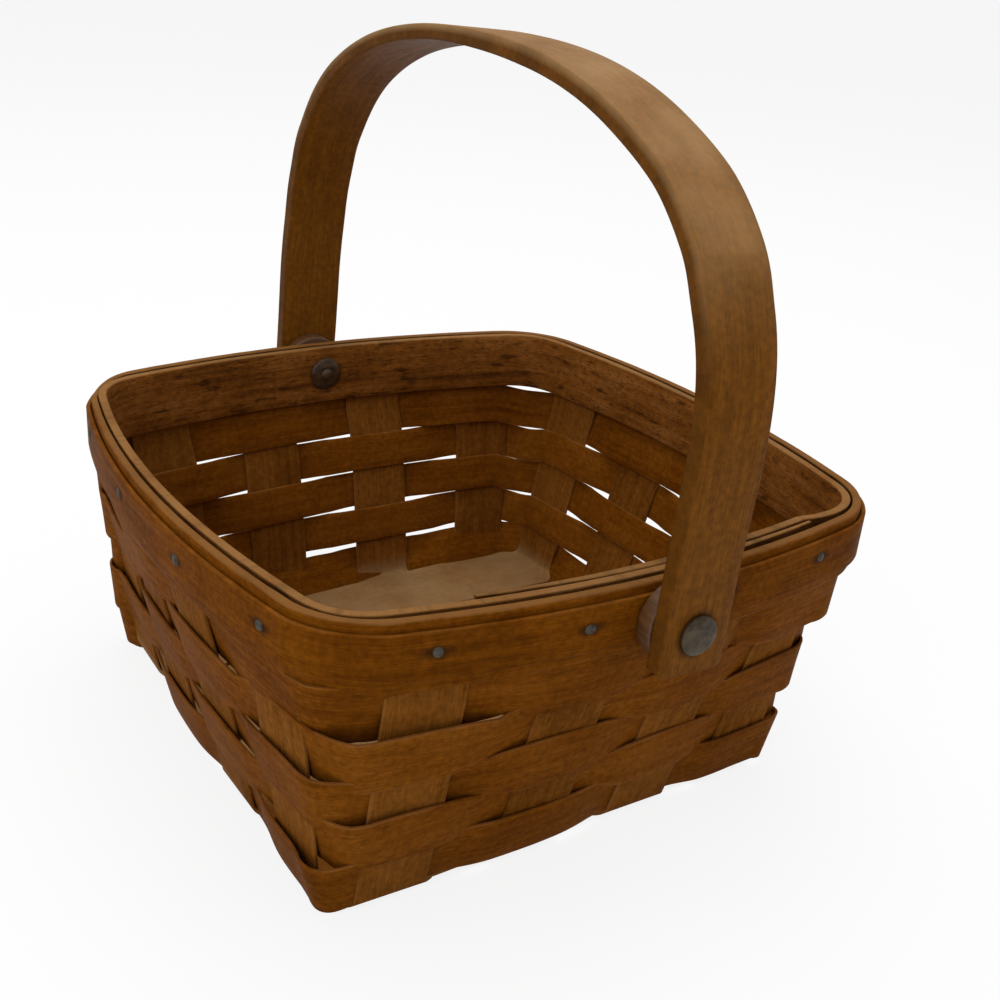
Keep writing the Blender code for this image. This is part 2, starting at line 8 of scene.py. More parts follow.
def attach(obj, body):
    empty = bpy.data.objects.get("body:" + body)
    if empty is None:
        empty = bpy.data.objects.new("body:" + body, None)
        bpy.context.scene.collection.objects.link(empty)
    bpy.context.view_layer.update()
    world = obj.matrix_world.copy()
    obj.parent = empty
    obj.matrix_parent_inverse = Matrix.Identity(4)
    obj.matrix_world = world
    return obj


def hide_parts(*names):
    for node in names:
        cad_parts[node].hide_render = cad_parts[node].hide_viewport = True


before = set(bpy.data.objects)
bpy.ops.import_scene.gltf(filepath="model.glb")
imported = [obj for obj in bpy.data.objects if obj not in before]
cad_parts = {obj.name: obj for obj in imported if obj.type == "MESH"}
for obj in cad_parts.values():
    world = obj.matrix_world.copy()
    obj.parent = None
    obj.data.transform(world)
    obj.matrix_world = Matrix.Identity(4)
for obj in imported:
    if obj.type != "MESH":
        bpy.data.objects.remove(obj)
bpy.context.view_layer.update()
basket_parts = bpy.data.collections.new("berry basket")
bpy.context.scene.collection.children.link(basket_parts)


# Splints: eight thin maple strips, soaked, bent up two facing walls and laid flat
# across the floor, four each way. The ones from left to right lie on top. All are
# stained after weaving, and the stain has been rubbed thin on the floor.

MM = 0.001
QUARTER_TURN = math.pi / 2
RIM_TOP = 84.0 * MM

# The walls' middle surface on the plan, bowed at the rim and nearly straight at the base
WALL_HALF = 88.95 * MM
WALL_BOW_RADIUS = 304.95 * MM
WALL_CORNER = 21.45 * MM
BASE_HALF = 73.5 * MM
BASE_BOW_SHARE = 0.1
BASE_CORNER = 10.0 * MM

# The bend below the bands, from the upright rim to the leaning wall
BEND_CENTRE = 20.6 * MM
BEND_RADIUS = 30.0 * MM
LEAN = math.atan2(WALL_HALF - BASE_HALF, RIM_TOP - BEND_CENTRE)

# The uprights' places along the front, right, back and left walls, in mm
WALL_PLACES = (
    (-57.5, -17.5, 20.5, 54.5),
    (-57.75, -19.25, 19.25, 57.75),
    (-60.0, -19.0, 21.0, 57.5),
    (-56.0, -17.5, 21.0, 59.5),
)
SPLINT_SIZE = (19.5 * MM, 1.0 * MM)
SPLINT_EDGES = (0.3 * MM, 0.6 * MM, 0.25 * MM)
SPLINT_TOP_DROPS = [drop * MM for drop in (2.4, 3.1, 2.2, 2.8)]
SPLINT_TAPER = 0.02
SPLINT_SEEDS = [3.1 + 7.3 * n for n in range(8)]
SPLINT_TONES = (0.1, -0.5, 0.35, -0.2, 0.5, -0.1, -0.6, 0.75)
SPLINT_STEP = 2.6 * MM
WALL_STEPS = 40
TURN_STEPS = 8
FLOOR_STEPS = 40

# Across the floor each strip's edges spread this much, and the strips from left to right
# bow towards the nearer wall, listed from the front
FLOOR_TURN = 4.0 * MM
FLOOR_SPREAD = 4.0 * MM
FLOOR_BOWS = [bow * MM for bow in (-1.5, -1.0, 1.0, 1.5)]
BOW_SHOULDER = 2.2
UNDER_FLOOR = 0.75 * MM
OVER_FLOOR = 2.1 * MM

# Below the bands the woven part has settled out of square, and to the left
BAND_BOTTOM = 65.0 * MM
SETTLING_HEIGHT = 20.0 * MM
OUT_OF_SQUARE = (0.018, 0.03)
BASE_ASIDE = -1.8 * MM


def feed(node, links):
    """Gives a node's inputs, each as a value, a socket or a whole node."""
    for socket, value in links.items():
        if isinstance(value, bpy.types.Node):
            value = value.outputs[0]
        if isinstance(value, bpy.types.NodeSocket):
            node.id_data.links.new(value, node.inputs[socket])
        else:
            node.inputs[socket].default_value = value


def add(tree, kind, links=None, **settings):
    """Adds a node with its settings and its inputs."""
    node = tree.nodes.new(kind)
    for key, value in settings.items():
        setattr(node, key, value)
    feed(node, links or {})
    return node


def stain(code):
    """A stain's sRGB hex colour as the linear colour that a shader takes."""
    parts = [int(code[n : n + 2], 16) / 255 for n in (1, 3, 5)]
    linear = [c / 12.92 if c <= 0.04045 else ((c + 0.055) / 1.055) ** 2.4 for c in parts]
    return (*linear, 1.0)


def eased(share):
    """A share held between none and all, with a soft start and a soft end."""
    share = min(max(share, 0.0), 1.0)
    return share * share * (3 - 2 * share)


def wall_ring(half):
    """Bow radius, corner radius, corner centre and turn of the wall's level line."""
    share = min(max((WALL_HALF - half) / (WALL_HALF - BASE_HALF), 0.0), 1.0)
    radius = WALL_BOW_RADIUS / (1 - share + share * BASE_BOW_SHARE)
    corner = WALL_CORNER + (BASE_CORNER - WALL_CORNER) * share
    centre = radius - half
    reach = radius - corner
    corner_at = (math.sqrt(2 * reach**2 - centre**2) - centre) / 2
    turn = math.atan2(corner_at, centre + corner_at)
    return radius, corner, centre, corner_at, turn


def heading_at(half, across):
    """The outward normal's angle on the plan, where the wall is this far across."""
    radius, corner, centre, corner_at, turn = wall_ring(half)
    size = abs(across)
    if size <= radius * math.sin(turn):
        return math.copysign(math.asin(size / radius), across)
    return math.copysign(math.asin(min((size - corner_at) / corner, 1.0)), across)


def settled(point):
    """Where a point of the woven part has settled to, below the bands."""
    low = eased((BAND_BOTTOM - point.z) / SETTLING_HEIGHT)
    sunk = min(max((BAND_BOTTOM - point.z) / BAND_BOTTOM, 0.0), 1.0)
    x = point.x + OUT_OF_SQUARE[0] * point.y * low + BASE_ASIDE * sunk * sunk
    return Vector((x, point.y + OUT_OF_SQUARE[1] * point.x * low, point.z))


def on_wall(side, heading, half, height, down, out):
    """A point off the wall's middle surface, and the way that the wall faces there."""
    radius, corner, centre, corner_at, turn = wall_ring(half)
    size = abs(heading)
    if size <= turn:
        across, reach = radius * math.sin(size), radius * math.cos(size) - centre
    else:
        across = corner_at + corner * math.sin(size)
        reach = corner_at + corner * math.cos(size)
    across = math.copysign(across, heading)
    level = math.cos(down)
    facing = Vector((math.sin(heading) * level, -math.cos(heading) * level, -math.sin(down)))
    point = Vector((across, -reach, height)) + facing * out
    turned = Matrix.Rotation(side * QUARTER_TURN, 3, "Z")
    return settled(turned @ point), turned @ facing


def wall_level(drop):
    """Half width, height and downward tilt of the wall, this far down its face."""
    bend_start = BEND_CENTRE - BEND_RADIUS * math.tan(LEAN / 2)
    bend = BEND_RADIUS * LEAN
    if drop <= bend_start:
        return WALL_HALF, RIM_TOP - drop, 0.0
    if drop <= bend_start + bend:
        angle = (drop - bend_start) / BEND_RADIUS
        half = WALL_HALF - BEND_RADIUS * (1 - math.cos(angle))
        return half, RIM_TOP - bend_start - BEND_RADIUS * math.sin(angle), angle
    past = drop - bend_start - bend
    half = WALL_HALF - BEND_RADIUS * (1 - math.cos(LEAN)) - past * math.sin(LEAN)
    height = RIM_TOP - bend_start - BEND_RADIUS * math.sin(LEAN) - past * math.cos(LEAN)
    return half, height, LEAN


def new_tree(name, sockets, result):
    """An empty tree with its named inputs and its one result, and what it is given."""
    tree = bpy.data.node_groups.new(name, "GeometryNodeTree")
    for label, kind in sockets:
        tree.interface.new_socket(label, in_out="INPUT", socket_type="NodeSocket" + kind)
    tree.interface.new_socket(result, in_out="OUTPUT", socket_type="NodeSocketGeometry")
    return tree, add(tree, "NodeGroupInput").outputs


def end_tree(tree, shape, finish, result):
    """Makes the tree's shape real, gives it its finish and hands it out."""
    real = add(tree, "GeometryNodeRealizeInstances", {"Geometry": shape})
    finished = add(tree, "GeometryNodeSetMaterial", {"Geometry": real, "Material": finish})
    add(tree, "NodeGroupOutput", {result: finished})


def strip_tree():
    """Sweeps a strip with eased edges along a guide line that says which way it faces."""
    numbers = ("Width", "Thickness", "Edge Ease", "Edge Wander", "Face Ripple", "Seed", "Tone")
    sockets = [("Guide", "Geometry"), *((label, "Float") for label in numbers), ("Finish", "Material")]
    tree, given = new_tree("bent wood strip", sockets, "Strip")

    def on_guide(name, kind="FLOAT"):
        """What the guide's stations carry under this name."""
        carried = add(tree, "GeometryNodeInputNamedAttribute", {"Name": name}, data_type=kind)
        return carried.outputs["Attribute"]

    line = add(tree, "GeometryNodeMeshToCurve", {"Mesh": given["Guide"]})
    normal = on_guide("facing", "FLOAT_VECTOR")
    faced = add(tree, "GeometryNodeSetCurveNormal", {"Curve": line, "Normal": normal}, mode="FREE")
    spline = add(tree, "GeometryNodeSplineParameter")
    tangent = add(tree, "GeometryNodeInputTangent")
    normal = add(tree, "GeometryNodeInputNormal")
    sideways = add(tree, "ShaderNodeVectorMath", {0: tangent, 1: normal}, operation="CROSS_PRODUCT")
    held = add(tree, "GeometryNodeCaptureAttribute", {"Geometry": faced})
    for kind, label in (("FLOAT", "along"), ("VECTOR", "sideways"), ("VECTOR", "facing")):
        held.capture_items.new(kind, label)
    feed(held, {"along": spline.outputs["Length"], "sideways": sideways, "facing": normal})
    held = held.outputs

    section = add(
        tree,
        "GeometryNodeCurvePrimitiveQuadrilateral",
        {"Width": given["Thickness"], "Height": given["Width"]},
    )
    finer = add(tree, "GeometryNodeSubdivideCurve", {"Curve": section, "Cuts": 3})
    rounding = {"Curve": finer, "Count": 2, "Radius": given["Edge Ease"], "Limit Radius": True}
    rounded = add(tree, "GeometryNodeFilletCurve", rounding, mode="POLY")
    kept = add(tree, "GeometryNodeCaptureAttribute", {"Geometry": rounded})
    kept.capture_items.new("VECTOR", "section")
    feed(kept, {"section": add(tree, "GeometryNodeInputPosition")})
    kept = kept.outputs
    sweep = {"Curve": held["Geometry"], "Profile Curve": kept["Geometry"], "Fill Caps": True}
    swept = add(tree, "GeometryNodeCurveToMesh", sweep)

    place = add(tree, "ShaderNodeSeparateXYZ", {0: kept["section"]}).outputs
    across, depth = place["Y"], place["X"]
    half = add(tree, "ShaderNodeMath", {0: given["Width"], 1: 0.5}, operation="MULTIPLY")
    share = add(tree, "ShaderNodeMath", {0: across, 1: half}, operation="DIVIDE")
    off_middle = add(tree, "ShaderNodeMath", {0: across}, operation="ABSOLUTE")
    edge = add(tree, "ShaderNodeMath", {0: half, 1: off_middle}, operation="SUBTRACT")
    run = add(tree, "ShaderNodeMath", {0: held["along"], 1: 1 / MM}, operation="MULTIPLY")
    spot = add(tree, "ShaderNodeCombineXYZ", {"X": run, "Y": share, "Z": given["Seed"]})

    def swing(noise, amount):
        """How far the noise swings to either side of its middle."""
        off = add(tree, "ShaderNodeMath", {0: noise, 1: 0.5}, operation="SUBTRACT")
        return add(tree, "ShaderNodeMath", {0: off, 1: amount}, operation="MULTIPLY")

    def carried(way, amount):
        """A move along one of the ways that the guide gives."""
        return add(tree, "ShaderNodeVectorMath", {0: held[way], "Scale": amount}, operation="SCALE")

    # The edge wanders over about 22 mm, and the face ripples over about 55 mm
    wander = {"Vector": spot, "Scale": 0.045, "Detail": 3.0, "Roughness": 0.65}
    wander = add(tree, "ShaderNodeTexNoise", wander)
    broad = add(tree, "ShaderNodeTexNoise", {"Vector": spot, "Scale": 0.018, "Detail": 1.0})
    narrowing = {0: on_guide("narrowing"), 1: share}
    pinch = add(tree, "ShaderNodeMath", narrowing, operation="MULTIPLY")
    slide = {0: swing(wander, given["Edge Wander"]), 1: pinch}
    slide = add(tree, "ShaderNodeMath", slide, operation="SUBTRACT")
    moves = {0: carried("sideways", slide), 1: carried("facing", swing(broad, given["Face Ripple"]))}
    shift = add(tree, "ShaderNodeVectorMath", moves, operation="ADD")
    thinning = {0: on_guide("thinning"), 1: depth}
    pared = add(tree, "ShaderNodeMath", thinning, operation="MULTIPLY")
    moves = {0: shift, 1: carried("facing", pared)}
    shift = add(tree, "ShaderNodeVectorMath", moves, operation="SUBTRACT")
    shape = add(tree, "GeometryNodeSetPosition", {"Geometry": swept, "Offset": shift})
    grain = add(tree, "ShaderNodeCombineXYZ", {"X": held["along"], "Y": across, "Z": edge})
    for label, kind, value in (
        ("grain", "FLOAT_VECTOR", grain), ("tone", "FLOAT", given["Tone"]), ("face", "FLOAT", depth)
    ):
        marks = {"Geometry": shape, "Name": label, "Value": value}
        shape = add(tree, "GeometryNodeStoreNamedAttribute", marks, data_type=kind)
    end_tree(tree, shape, given["Finish"], "Strip")
    return tree


bent_wood_strip = strip_tree()


def made_by(name, guide, tree, values):
    """Runs a tree on a guide mesh and keeps the result as a plain piece."""
    holder = bpy.data.objects.new(name, guide)
    basket_parts.objects.link(holder)
    maker = holder.modifiers.new("make", "NODES")
    maker.node_group = tree
    for item in tree.interface.items_tree:
        if item.in_out == "INPUT" and item.name in values:
            maker[item.identifier] = values[item.name]
    bpy.context.view_layer.update()
    evaluated = holder.evaluated_get(bpy.context.evaluated_depsgraph_get())
    mesh = bpy.data.meshes.new_from_object(evaluated)
    holder.modifiers.remove(maker)
    holder.data = mesh
    bpy.data.meshes.remove(guide)
    mesh.shade_smooth()
    mesh.set_sharp_from_angle(angle=math.radians(50))
    return holder


def bent_strip(name, line, size, edges, seed, tone, finish):
    """A strip along (point, facing, narrowing, thinning) stations.

    Its size is its width and thickness. Its edges are how far they are eased, how far
    they wander, and how far the face ripples.
    """
    guide = bpy.data.meshes.new(name + " guide")
    links = [(n, n + 1) for n in range(len(line) - 1)]
    guide.from_pydata([station[0] for station in line], links, [])
    carried = (
        ("facing", "FLOAT_VECTOR", "vector"),
        ("narrowing", "FLOAT", "value"),
        ("thinning", "FLOAT", "value"),
    )
    for place, (label, kind, field) in enumerate(carried, 1):
        data = guide.attributes.new(label, kind, "POINT").data
        for n, station in enumerate(line):
            setattr(data[n], field, station[place])
    labels = ("Width", "Thickness", "Edge Ease", "Edge Wander", "Face Ripple", "Seed", "Tone", "Finish")
    values = (*size, *edges, seed, tone, finish)
    return made_by(name, guide, bent_wood_strip, dict(zip(labels, values)))


def new_finish(name):
    """A new material, with its tree, its shader and the places on the piece."""
    made = bpy.data.materials.new(name)
    made.use_nodes = True
    tree = made.node_tree
    return made, tree, tree.nodes["Principled BSDF"], add(tree, "ShaderNodeTexCoord").outputs["Object"]


def laid_over(tree, colour, code, measure, start, stop, least, most):
    """A stain laid over the colour, from least to most as the measure goes from start to stop."""
    limits = {"Value": measure, "From Min": start, "From Max": stop, "To Min": least, "To Max": most}
    share = add(tree, "ShaderNodeMapRange", limits, interpolation_type="SMOOTHSTEP")
    return add(tree, "ShaderNodeMix", {0: share, 6: colour, 7: stain(code)}, data_type="RGBA").outputs[2]


def stained_maple(name, pale, body, deep, edge, bare, fibre_mm, flecks, rough, sheen, extra=None):
    """Split or sawn maple under an oil stain, its figure drawn along the strip's own grain.

    The eye sees long soft bands of stain, fine fibres along the strip, short dark pores,
    and edges worn to another colour, on the handle darkened instead as painted shade. The
    extra function lays the piece's own wear over it, with painted shade and painted
    highlight in places.
    """
    made, tree, shader, where = new_finish(name)
    grain = add(tree, "ShaderNodeAttribute", attribute_name="grain").outputs["Vector"]
    tone = add(tree, "ShaderNodeAttribute", attribute_name="tone").outputs["Fac"]
    part = add(tree, "ShaderNodeSeparateXYZ", {0: grain})
    # Each strip takes its own layer of every noise
    layer = add(tree, "ShaderNodeMath", {0: tone, 1: 61.7}, operation="MULTIPLY")

    def streaks(length_mm, width_mm, roughness=0.55, detail=3.0):
        """Noise drawn out along the grain, its cells this long and wide."""
        stretch = Vector((1000.0 / length_mm, 1000.0 / width_mm, 0.0))
        drawn = add(tree, "ShaderNodeVectorMath", {0: grain, 1: stretch}, operation="MULTIPLY")
        lifted = add(tree, "ShaderNodeCombineXYZ", {"Z": layer})
        spot = add(tree, "ShaderNodeVectorMath", {0: drawn, 1: lifted}, operation="ADD")
        noise = {"Vector": spot, "Scale": 1.0, "Detail": detail, "Roughness": roughness}
        return add(tree, "ShaderNodeTexNoise", noise)

    def spread(value, least, most):
        """The middle of a noise's range, spread from least to most."""
        limits = {"Value": value, "From Min": 0.3, "From Max": 0.7, "To Min": least, "To Max": most}
        return add(tree, "ShaderNodeMapRange", limits)

    # Real pores are finer than these, which are drawn as coarse as the render shows
    figure = streaks(60.0, 2.2)
    fibre = streaks(fibre_mm, 0.33, 0.65)
    pores = streaks(2.2, 0.3, detail=1.0)
    # Blotches of stain about 22 mm across, and dapples of about 1.6 mm
    blotch = {"Vector": where, "Scale": 45.0, "Detail": 3.0, "Roughness": 0.6}
    blotch = add(tree, "ShaderNodeTexNoise", blotch)
    dapple = add(tree, "ShaderNodeTexNoise", {"Vector": where, "Scale": 620.0, "Detail": 3.0})
    mixed = add(tree, "ShaderNodeMix", {0: 0.5, 2: figure, 3: blotch})
    shade = add(tree, "ShaderNodeMath", {0: tone, 1: 0.1, 2: mixed}, operation="MULTIPLY_ADD")
    ramp = add(tree, "ShaderNodeValToRGB", {0: shade})
    stops = ramp.color_ramp.elements
    stops[0].position, stops[0].color = 0.30, stain(deep)
    stops[1].position, stops[1].color = 0.74, stain(pale)
    stops.new(0.5).color = stain(body)
    threads = {0: spread(fibre, 0.78, 1.22), 1: spread(dapple, 0.8, 1.2)}
    thread = add(tree, "ShaderNodeMath", threads, operation="MULTIPLY")
    threaded = add(tree, "ShaderNodeVectorMath", {0: ramp, "Scale": thread}, operation="SCALE")
    limits = {"Value": pores, "From Min": 0.58, "From Max": 0.72, "To Max": flecks}
    fleck = add(tree, "ShaderNodeMapRange", limits, interpolation_type="SMOOTHSTEP")
    flecked = {0: fleck, 6: threaded, 7: stain(deep)}
    flecked = add(tree, "ShaderNodeMix", flecked, data_type="RGBA").outputs[2]
    # Worn within about half a millimetre of the edge, more in some places than in others;
    # on the handle this edge colour is darker, as painted shade
    edge_wear_and_shade = {0: blotch, 1: -1.8 * MM, 2: part.outputs["Z"]}
    edge_wear_and_shade = add(tree, "ShaderNodeMath", edge_wear_and_shade, operation="MULTIPLY_ADD")
    colour = laid_over(tree, flecked, edge, edge_wear_and_shade, -1.0 * MM, -0.5 * MM, bare, 0.0)
    if extra:
        colour = extra(tree, colour, where, part.outputs, fibre)
    relief = add(tree, "ShaderNodeMath", {0: fleck, 1: -0.8, 2: fibre}, operation="MULTIPLY_ADD")
    bump = add(tree, "ShaderNodeBump", {"Strength": 0.5, "Distance": 0.1 * MM, "Height": relief})
    dull = spread(fibre, rough + 0.10, rough - 0.06)
    feed(shader, {"Base Color": colour, "Roughness": dull, "Normal": bump})
    feed(shader, {"IOR": 1.5, "Specular IOR Level": sheen})
    return made


def rubbed_floor_and_band_shade(tree, colour, place, part, fibre):
    """The stain is rubbed thin and grey on the open floor, and painted shade darkens the splints between
    the bands.
    """
    spot = add(tree, "ShaderNodeSeparateXYZ", {0: place}).outputs
    limits = {"Value": spot["Z"], "From Min": 9 * MM, "From Max": 2.5 * MM, "To Max": 1.05}
    low = add(tree, "ShaderNodeMapRange", limits, interpolation_type="SMOOTHSTEP")
    # The floor keeps its stain near the front wall and the left one
    inward = add(tree, "ShaderNodeMath", {0: spot["X"], 1: 0.35, 2: spot["Y"]}, operation="MULTIPLY_ADD")
    limits = {"Value": inward, "From Min": -62 * MM, "From Max": -30 * MM}
    open_floor = add(tree, "ShaderNodeMapRange", limits, interpolation_type="SMOOTHSTEP")
    low = add(tree, "ShaderNodeMath", {0: low, 1: open_floor}, operation="MULTIPLY")
    patches = {"Vector": place, "Scale": 55.0, "Detail": 4.0, "Roughness": 0.7}
    patches = add(tree, "ShaderNodeTexNoise", patches)
    share = add(tree, "ShaderNodeMath", {0: low, 1: patches}, operation="MULTIPLY")
    worn = {0: share, 6: colour, 7: stain("#9c7f59")}
    worn = add(tree, "ShaderNodeMix", worn, data_type="RGBA").outputs[2]
    # Painted shade: the splints are darkened near the rim, where they stand between the bands
    return laid_over(tree, worn, "#1c1206", spot["Z"], RIM_TOP - 14 * MM, RIM_TOP - 5 * MM, 0.0, 0.9)


# Split maple splint: shaved along the fibres and stained, so it shows fine straight
# fibres, few pores and a dull, dry surface.
splint_wood = stained_maple(
    "stained maple splint",
    pale="#80501e",
    body="#724415",
    deep="#5a320a",
    edge="#8f6234",
    bare=0.35,
    fibre_mm=7.0,
    flecks=0.35,
    rough=0.6,
    sheen=0.01,
    extra=rubbed_floor_and_band_shade,
)


def splint_line(side, across, floor, top_drop):
    """Stations down one wall and round the turn under it, flat against the wall's bow."""
    turn_height = floor + FLOOR_TURN * (1 - math.sin(LEAN))
    wall = []
    for n in range(WALL_STEPS):
        half, height, down = wall_level(top_drop + SPLINT_STEP * n)
        if height <= turn_height:
            break
        wall.append((half, height, down))
    half, height, down = wall[-1]
    half -= (height - turn_height) * math.tan(LEAN)
    centre = half - FLOOR_TURN * math.cos(LEAN)
    for n in range(1, TURN_STEPS + 1):
        angle = LEAN + (QUARTER_TURN - LEAN) * n / TURN_STEPS
        height = floor + FLOOR_TURN * (1 - math.sin(angle))
        wall.append((centre + FLOOR_TURN * math.cos(angle), height, angle))
    line = []
    for half, height, down in wall:
        share = (WALL_HALF - half) / (WALL_HALF - BASE_HALF)
        heading = heading_at(half, across * (1 - SPLINT_TAPER * share))
        point, facing = on_wall(side, heading, half, height, down, 0.0)
        turned = max(down - LEAN, 0.0) / (QUARTER_TURN - LEAN)
        line.append((point, facing, -FLOOR_SPREAD * turned * turned, 0.0))
    return line


def across_floor(first, last, bow):
    """The flat run between the two floor turns, with the far wall's stations reversed."""
    start, end = first[-1][0], last[-1][0]
    run = []
    for n in range(1, FLOOR_STEPS):
        share = n / FLOOR_STEPS
        point = start.lerp(end, share) + bow * min(math.sin(math.pi * share) * BOW_SHOULDER, 1.0)
        run.append((point, Vector((0, 0, -1)), -FLOOR_SPREAD, 0.0))
    return first + run + list(reversed(last))


for way, side, floor in (("front_back", 0, UNDER_FLOOR), ("left_right", 1, OVER_FLOOR)):
    for n in range(4):
        near, far = WALL_PLACES[side][n] * MM, WALL_PLACES[side + 2][3 - n] * MM
        near = splint_line(side, near, floor, SPLINT_TOP_DROPS[n])
        far = splint_line(side + 2, far, floor, SPLINT_TOP_DROPS[3 - n])
        line = across_floor(near, far, Vector((0.0, FLOOR_BOWS[n] * side, 0.0)))
        seed, tone = SPLINT_SEEDS[side * 4 + n], SPLINT_TONES[side * 4 + n]
        name = f"maple_splint_{way}_{n + 1}"
        strip = bent_strip(name, line, SPLINT_SIZE, SPLINT_EDGES, seed, tone, splint_wood)
        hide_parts(f"splint_{way}_{n + 1}")
        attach(strip, "basket")


# Weavers: five thinner maple strips, one to a row, woven in and out of the uprights.
# Each goes once round, and its ends meet at an upright at the back. The wood is stiff,
# so a row bows in and out at the uprights and stands off the corners.

# Each row from the top: its width, and how far its middle lies down the wall's face
WEAVER_WIDTHS = [width * MM for width in (13.6, 12.3, 12.3, 12.1, 12.8)]
WEAVER_MIDDLES = [middle * MM for middle in (24.5, 37.5, 50.1, 62.8, 77.3)]
WEAVER_THICKNESS = 0.8 * MM
WEAVER_EDGES = (0.28 * MM, 0.7 * MM, 0.2 * MM)
WEAVER_SEEDS = [40.0 + 11.9 * row for row in range(5)]
WEAVER_TONES = (-0.3, 0.45, 0.0, 0.6, -0.1)
CROSSING_STEPS = 20

# For each row, in mm: how far it has sagged and how much each edge spreads on the front,
# right, back and left walls, and how far it bulges at the corner after each of them
WEAVER_SAGS = (
    (0.0, 1.5, 1.1, 0.0),
    (0.0, 1.9, 1.3, 0.0),
    (0.0, 2.2, 1.5, 0.0),
    (0.0, 2.3, 1.6, 0.0),
    (-1.9, 1.4, 1.7, -0.4),
)
WEAVER_SPREADS = (
    (1.9, -0.2, -0.2, 1.9),
    (2.2, -0.25, -0.25, 2.2),
    (2.3, -0.25, -0.25, 2.3),
    (2.3, -0.3, -0.3, 2.2),
    (1.3, 0.3, 0.3, 1.3),
)
WEAVER_BUMPS = (
    (0.8, 0.8, 4.2, 1.2),
    (-0.8, 0.5, 4.6, 0.9),
    (0.2, 0.8, 5.8, 1.3),
    (-1.2, 0.5, 5.8, 0.9),
    (0.8, 0.8, 6.5, 2.6),
)

# The rows sag further at the far corner, close up on the back wall towards the left, and
# stand straighter at the other two corners. The lowest one turns under on the far walls,
# and keeps this far above the table
FAR_CORNER_SAGS = (2.0, 2.6, 2.0, 1.8, 0.4)
BACK_CLOSING = 0.5
CORNER_TURNS = (-0.2, 0.0, -0.2, 0.0)
FOOT_TURNS = (0.0, 0.35, 0.35, 0.0)
LOWEST_ROW = 4
EDGE_CLEAR = 0.75 * MM

# How far each row bows out and in at the uprights, and how flat it lies along them
WEAVER_BOWS = [bow * MM for bow in (1.0, 1.05, 1.05, 1.05, 1.2)]
FAR_WALL_BOWS = (1.0, 1.25, 1.25, 1.0)
WAVE_FLATNESS = 1.7

# Weaver splint: thinner strips of the same split maple, a shade redder where the
# stain took better, with short dark pores along the fibres.
weaver_wood = stained_maple(
    "stained maple weaver",
    pale="#7a4812",
    body="#6c3c0a",
    deep="#562c04",
    edge="#8e5e35",
    bare=0.4,
    fibre_mm=6.0,
    flecks=0.4,
    rough=0.56,
    sheen=0.01,
)


def round_corner(values, side, share):
    """A value given for each wall, passing into the next wall's at the corner."""
    return values[side] * (1 - share) + values[(side + 1) % 4] * share


def weaver_line(row):
    """In and out of the uprights, as one flattened wave with its bumps at the corners."""
    stations = []
    for side in range(4):
        places = [place * MM for place in WALL_PLACES[side]]
        for n in range(3):
            for step in range(CROSSING_STEPS):
                share = step / CROSSING_STEPS
                across = places[n] + (places[n + 1] - places[n]) * share
                stations.append((side, across, side * 4 + n + share, 0.0))
        for step in range(CROSSING_STEPS):
            share = step / CROSSING_STEPS
            stations.append((side, places[3], side * 4 + 3 + share, share))
    line = []
    for side, across, phase, share in stations:
        smooth = eased(share)
        at_corner = math.sin(math.pi * share)
        sag = round_corner(WEAVER_SAGS[row], side, smooth)
        spread = round_corner(WEAVER_SPREADS[row], side, smooth)
        if side == 1:
            sag += FAR_CORNER_SAGS[row] * at_corner
        if side == 2:
            spread += BACK_CLOSING * max(across / WALL_HALF, 0.0) * (1 - smooth)
        half, height, down = wall_level(WEAVER_MIDDLES[row] + sag * MM)
        heading = heading_at(half, across)
        if share:
            turned = QUARTER_TURN + heading_at(half, WALL_PLACES[(side + 1) % 4][0] * MM)
            heading += (turned - heading) * share
        wave = -math.cos(math.pi * (phase + row))
        wave = math.tanh(WAVE_FLATNESS * wave) / math.tanh(WAVE_FLATNESS)
        # A row keeps its own width where it passes from one side of the wall to the other
        closing = max(abs(wave), at_corner) if row < LOWEST_ROW else 1.0
        wave *= round_corner(FAR_WALL_BOWS, side, smooth)
        down += CORNER_TURNS[side] * at_corner
        if row == LOWEST_ROW:
            down += round_corner(FOOT_TURNS, side, smooth)
        out = WEAVER_BOWS[row] * wave + WEAVER_BUMPS[row][side] * MM * at_corner
        point, facing = on_wall(side, heading, half, height, down, out)
        below = (WEAVER_WIDTHS[row] / 2 + spread * MM * closing) * math.cos(down)
        point.z = max(point.z, below + EDGE_CLEAR)
        line.append((point, facing, -spread * MM * closing, 0.0))
    # The ends meet outside the back wall's second upright or its third
    meet = CROSSING_STEPS * (9 if row % 2 == 0 else 10)
    return line[meet:] + line[:meet]


for row in range(5):
    name, size = f"maple_weaver_{row + 1}", (WEAVER_WIDTHS[row], WEAVER_THICKNESS)
    seed, tone = WEAVER_SEEDS[row], WEAVER_TONES[row]
    strip = bent_strip(name, weaver_line(row), size, WEAVER_EDGES, seed, tone, weaver_wood)
    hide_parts(f"weaver_row_{row + 1}")
    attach(strip, "basket")


# Rim bands: three maple bands clamp the uprights. The inner one is sawn, the middle
# one is thick with a rounded top, and the outer one is a narrower strip over it.
# Each is steamed round, lapped or butted, and tacked through at every upright.

# Height and thickness of each band, and the pocket between the inner and middle ones
INNER_BAND = (18.6 * MM, 2.35 * MM)
MIDDLE_BAND = (17.6 * MM, 2.95 * MM)
OUTER_BAND = (12.0 * MM, 1.2 * MM)
OUTER_DROP = 2.2 * MM
POCKET_HALF = 0.6 * MM
OUTER_FACE = POCKET_HALF + MIDDLE_BAND[1]
BAND_WANDER = 0.3 * MM
BAND_RIPPLE = 0.12 * MM
BAND_SEEDS = [90.0 + 17 * n for n in range(3)]

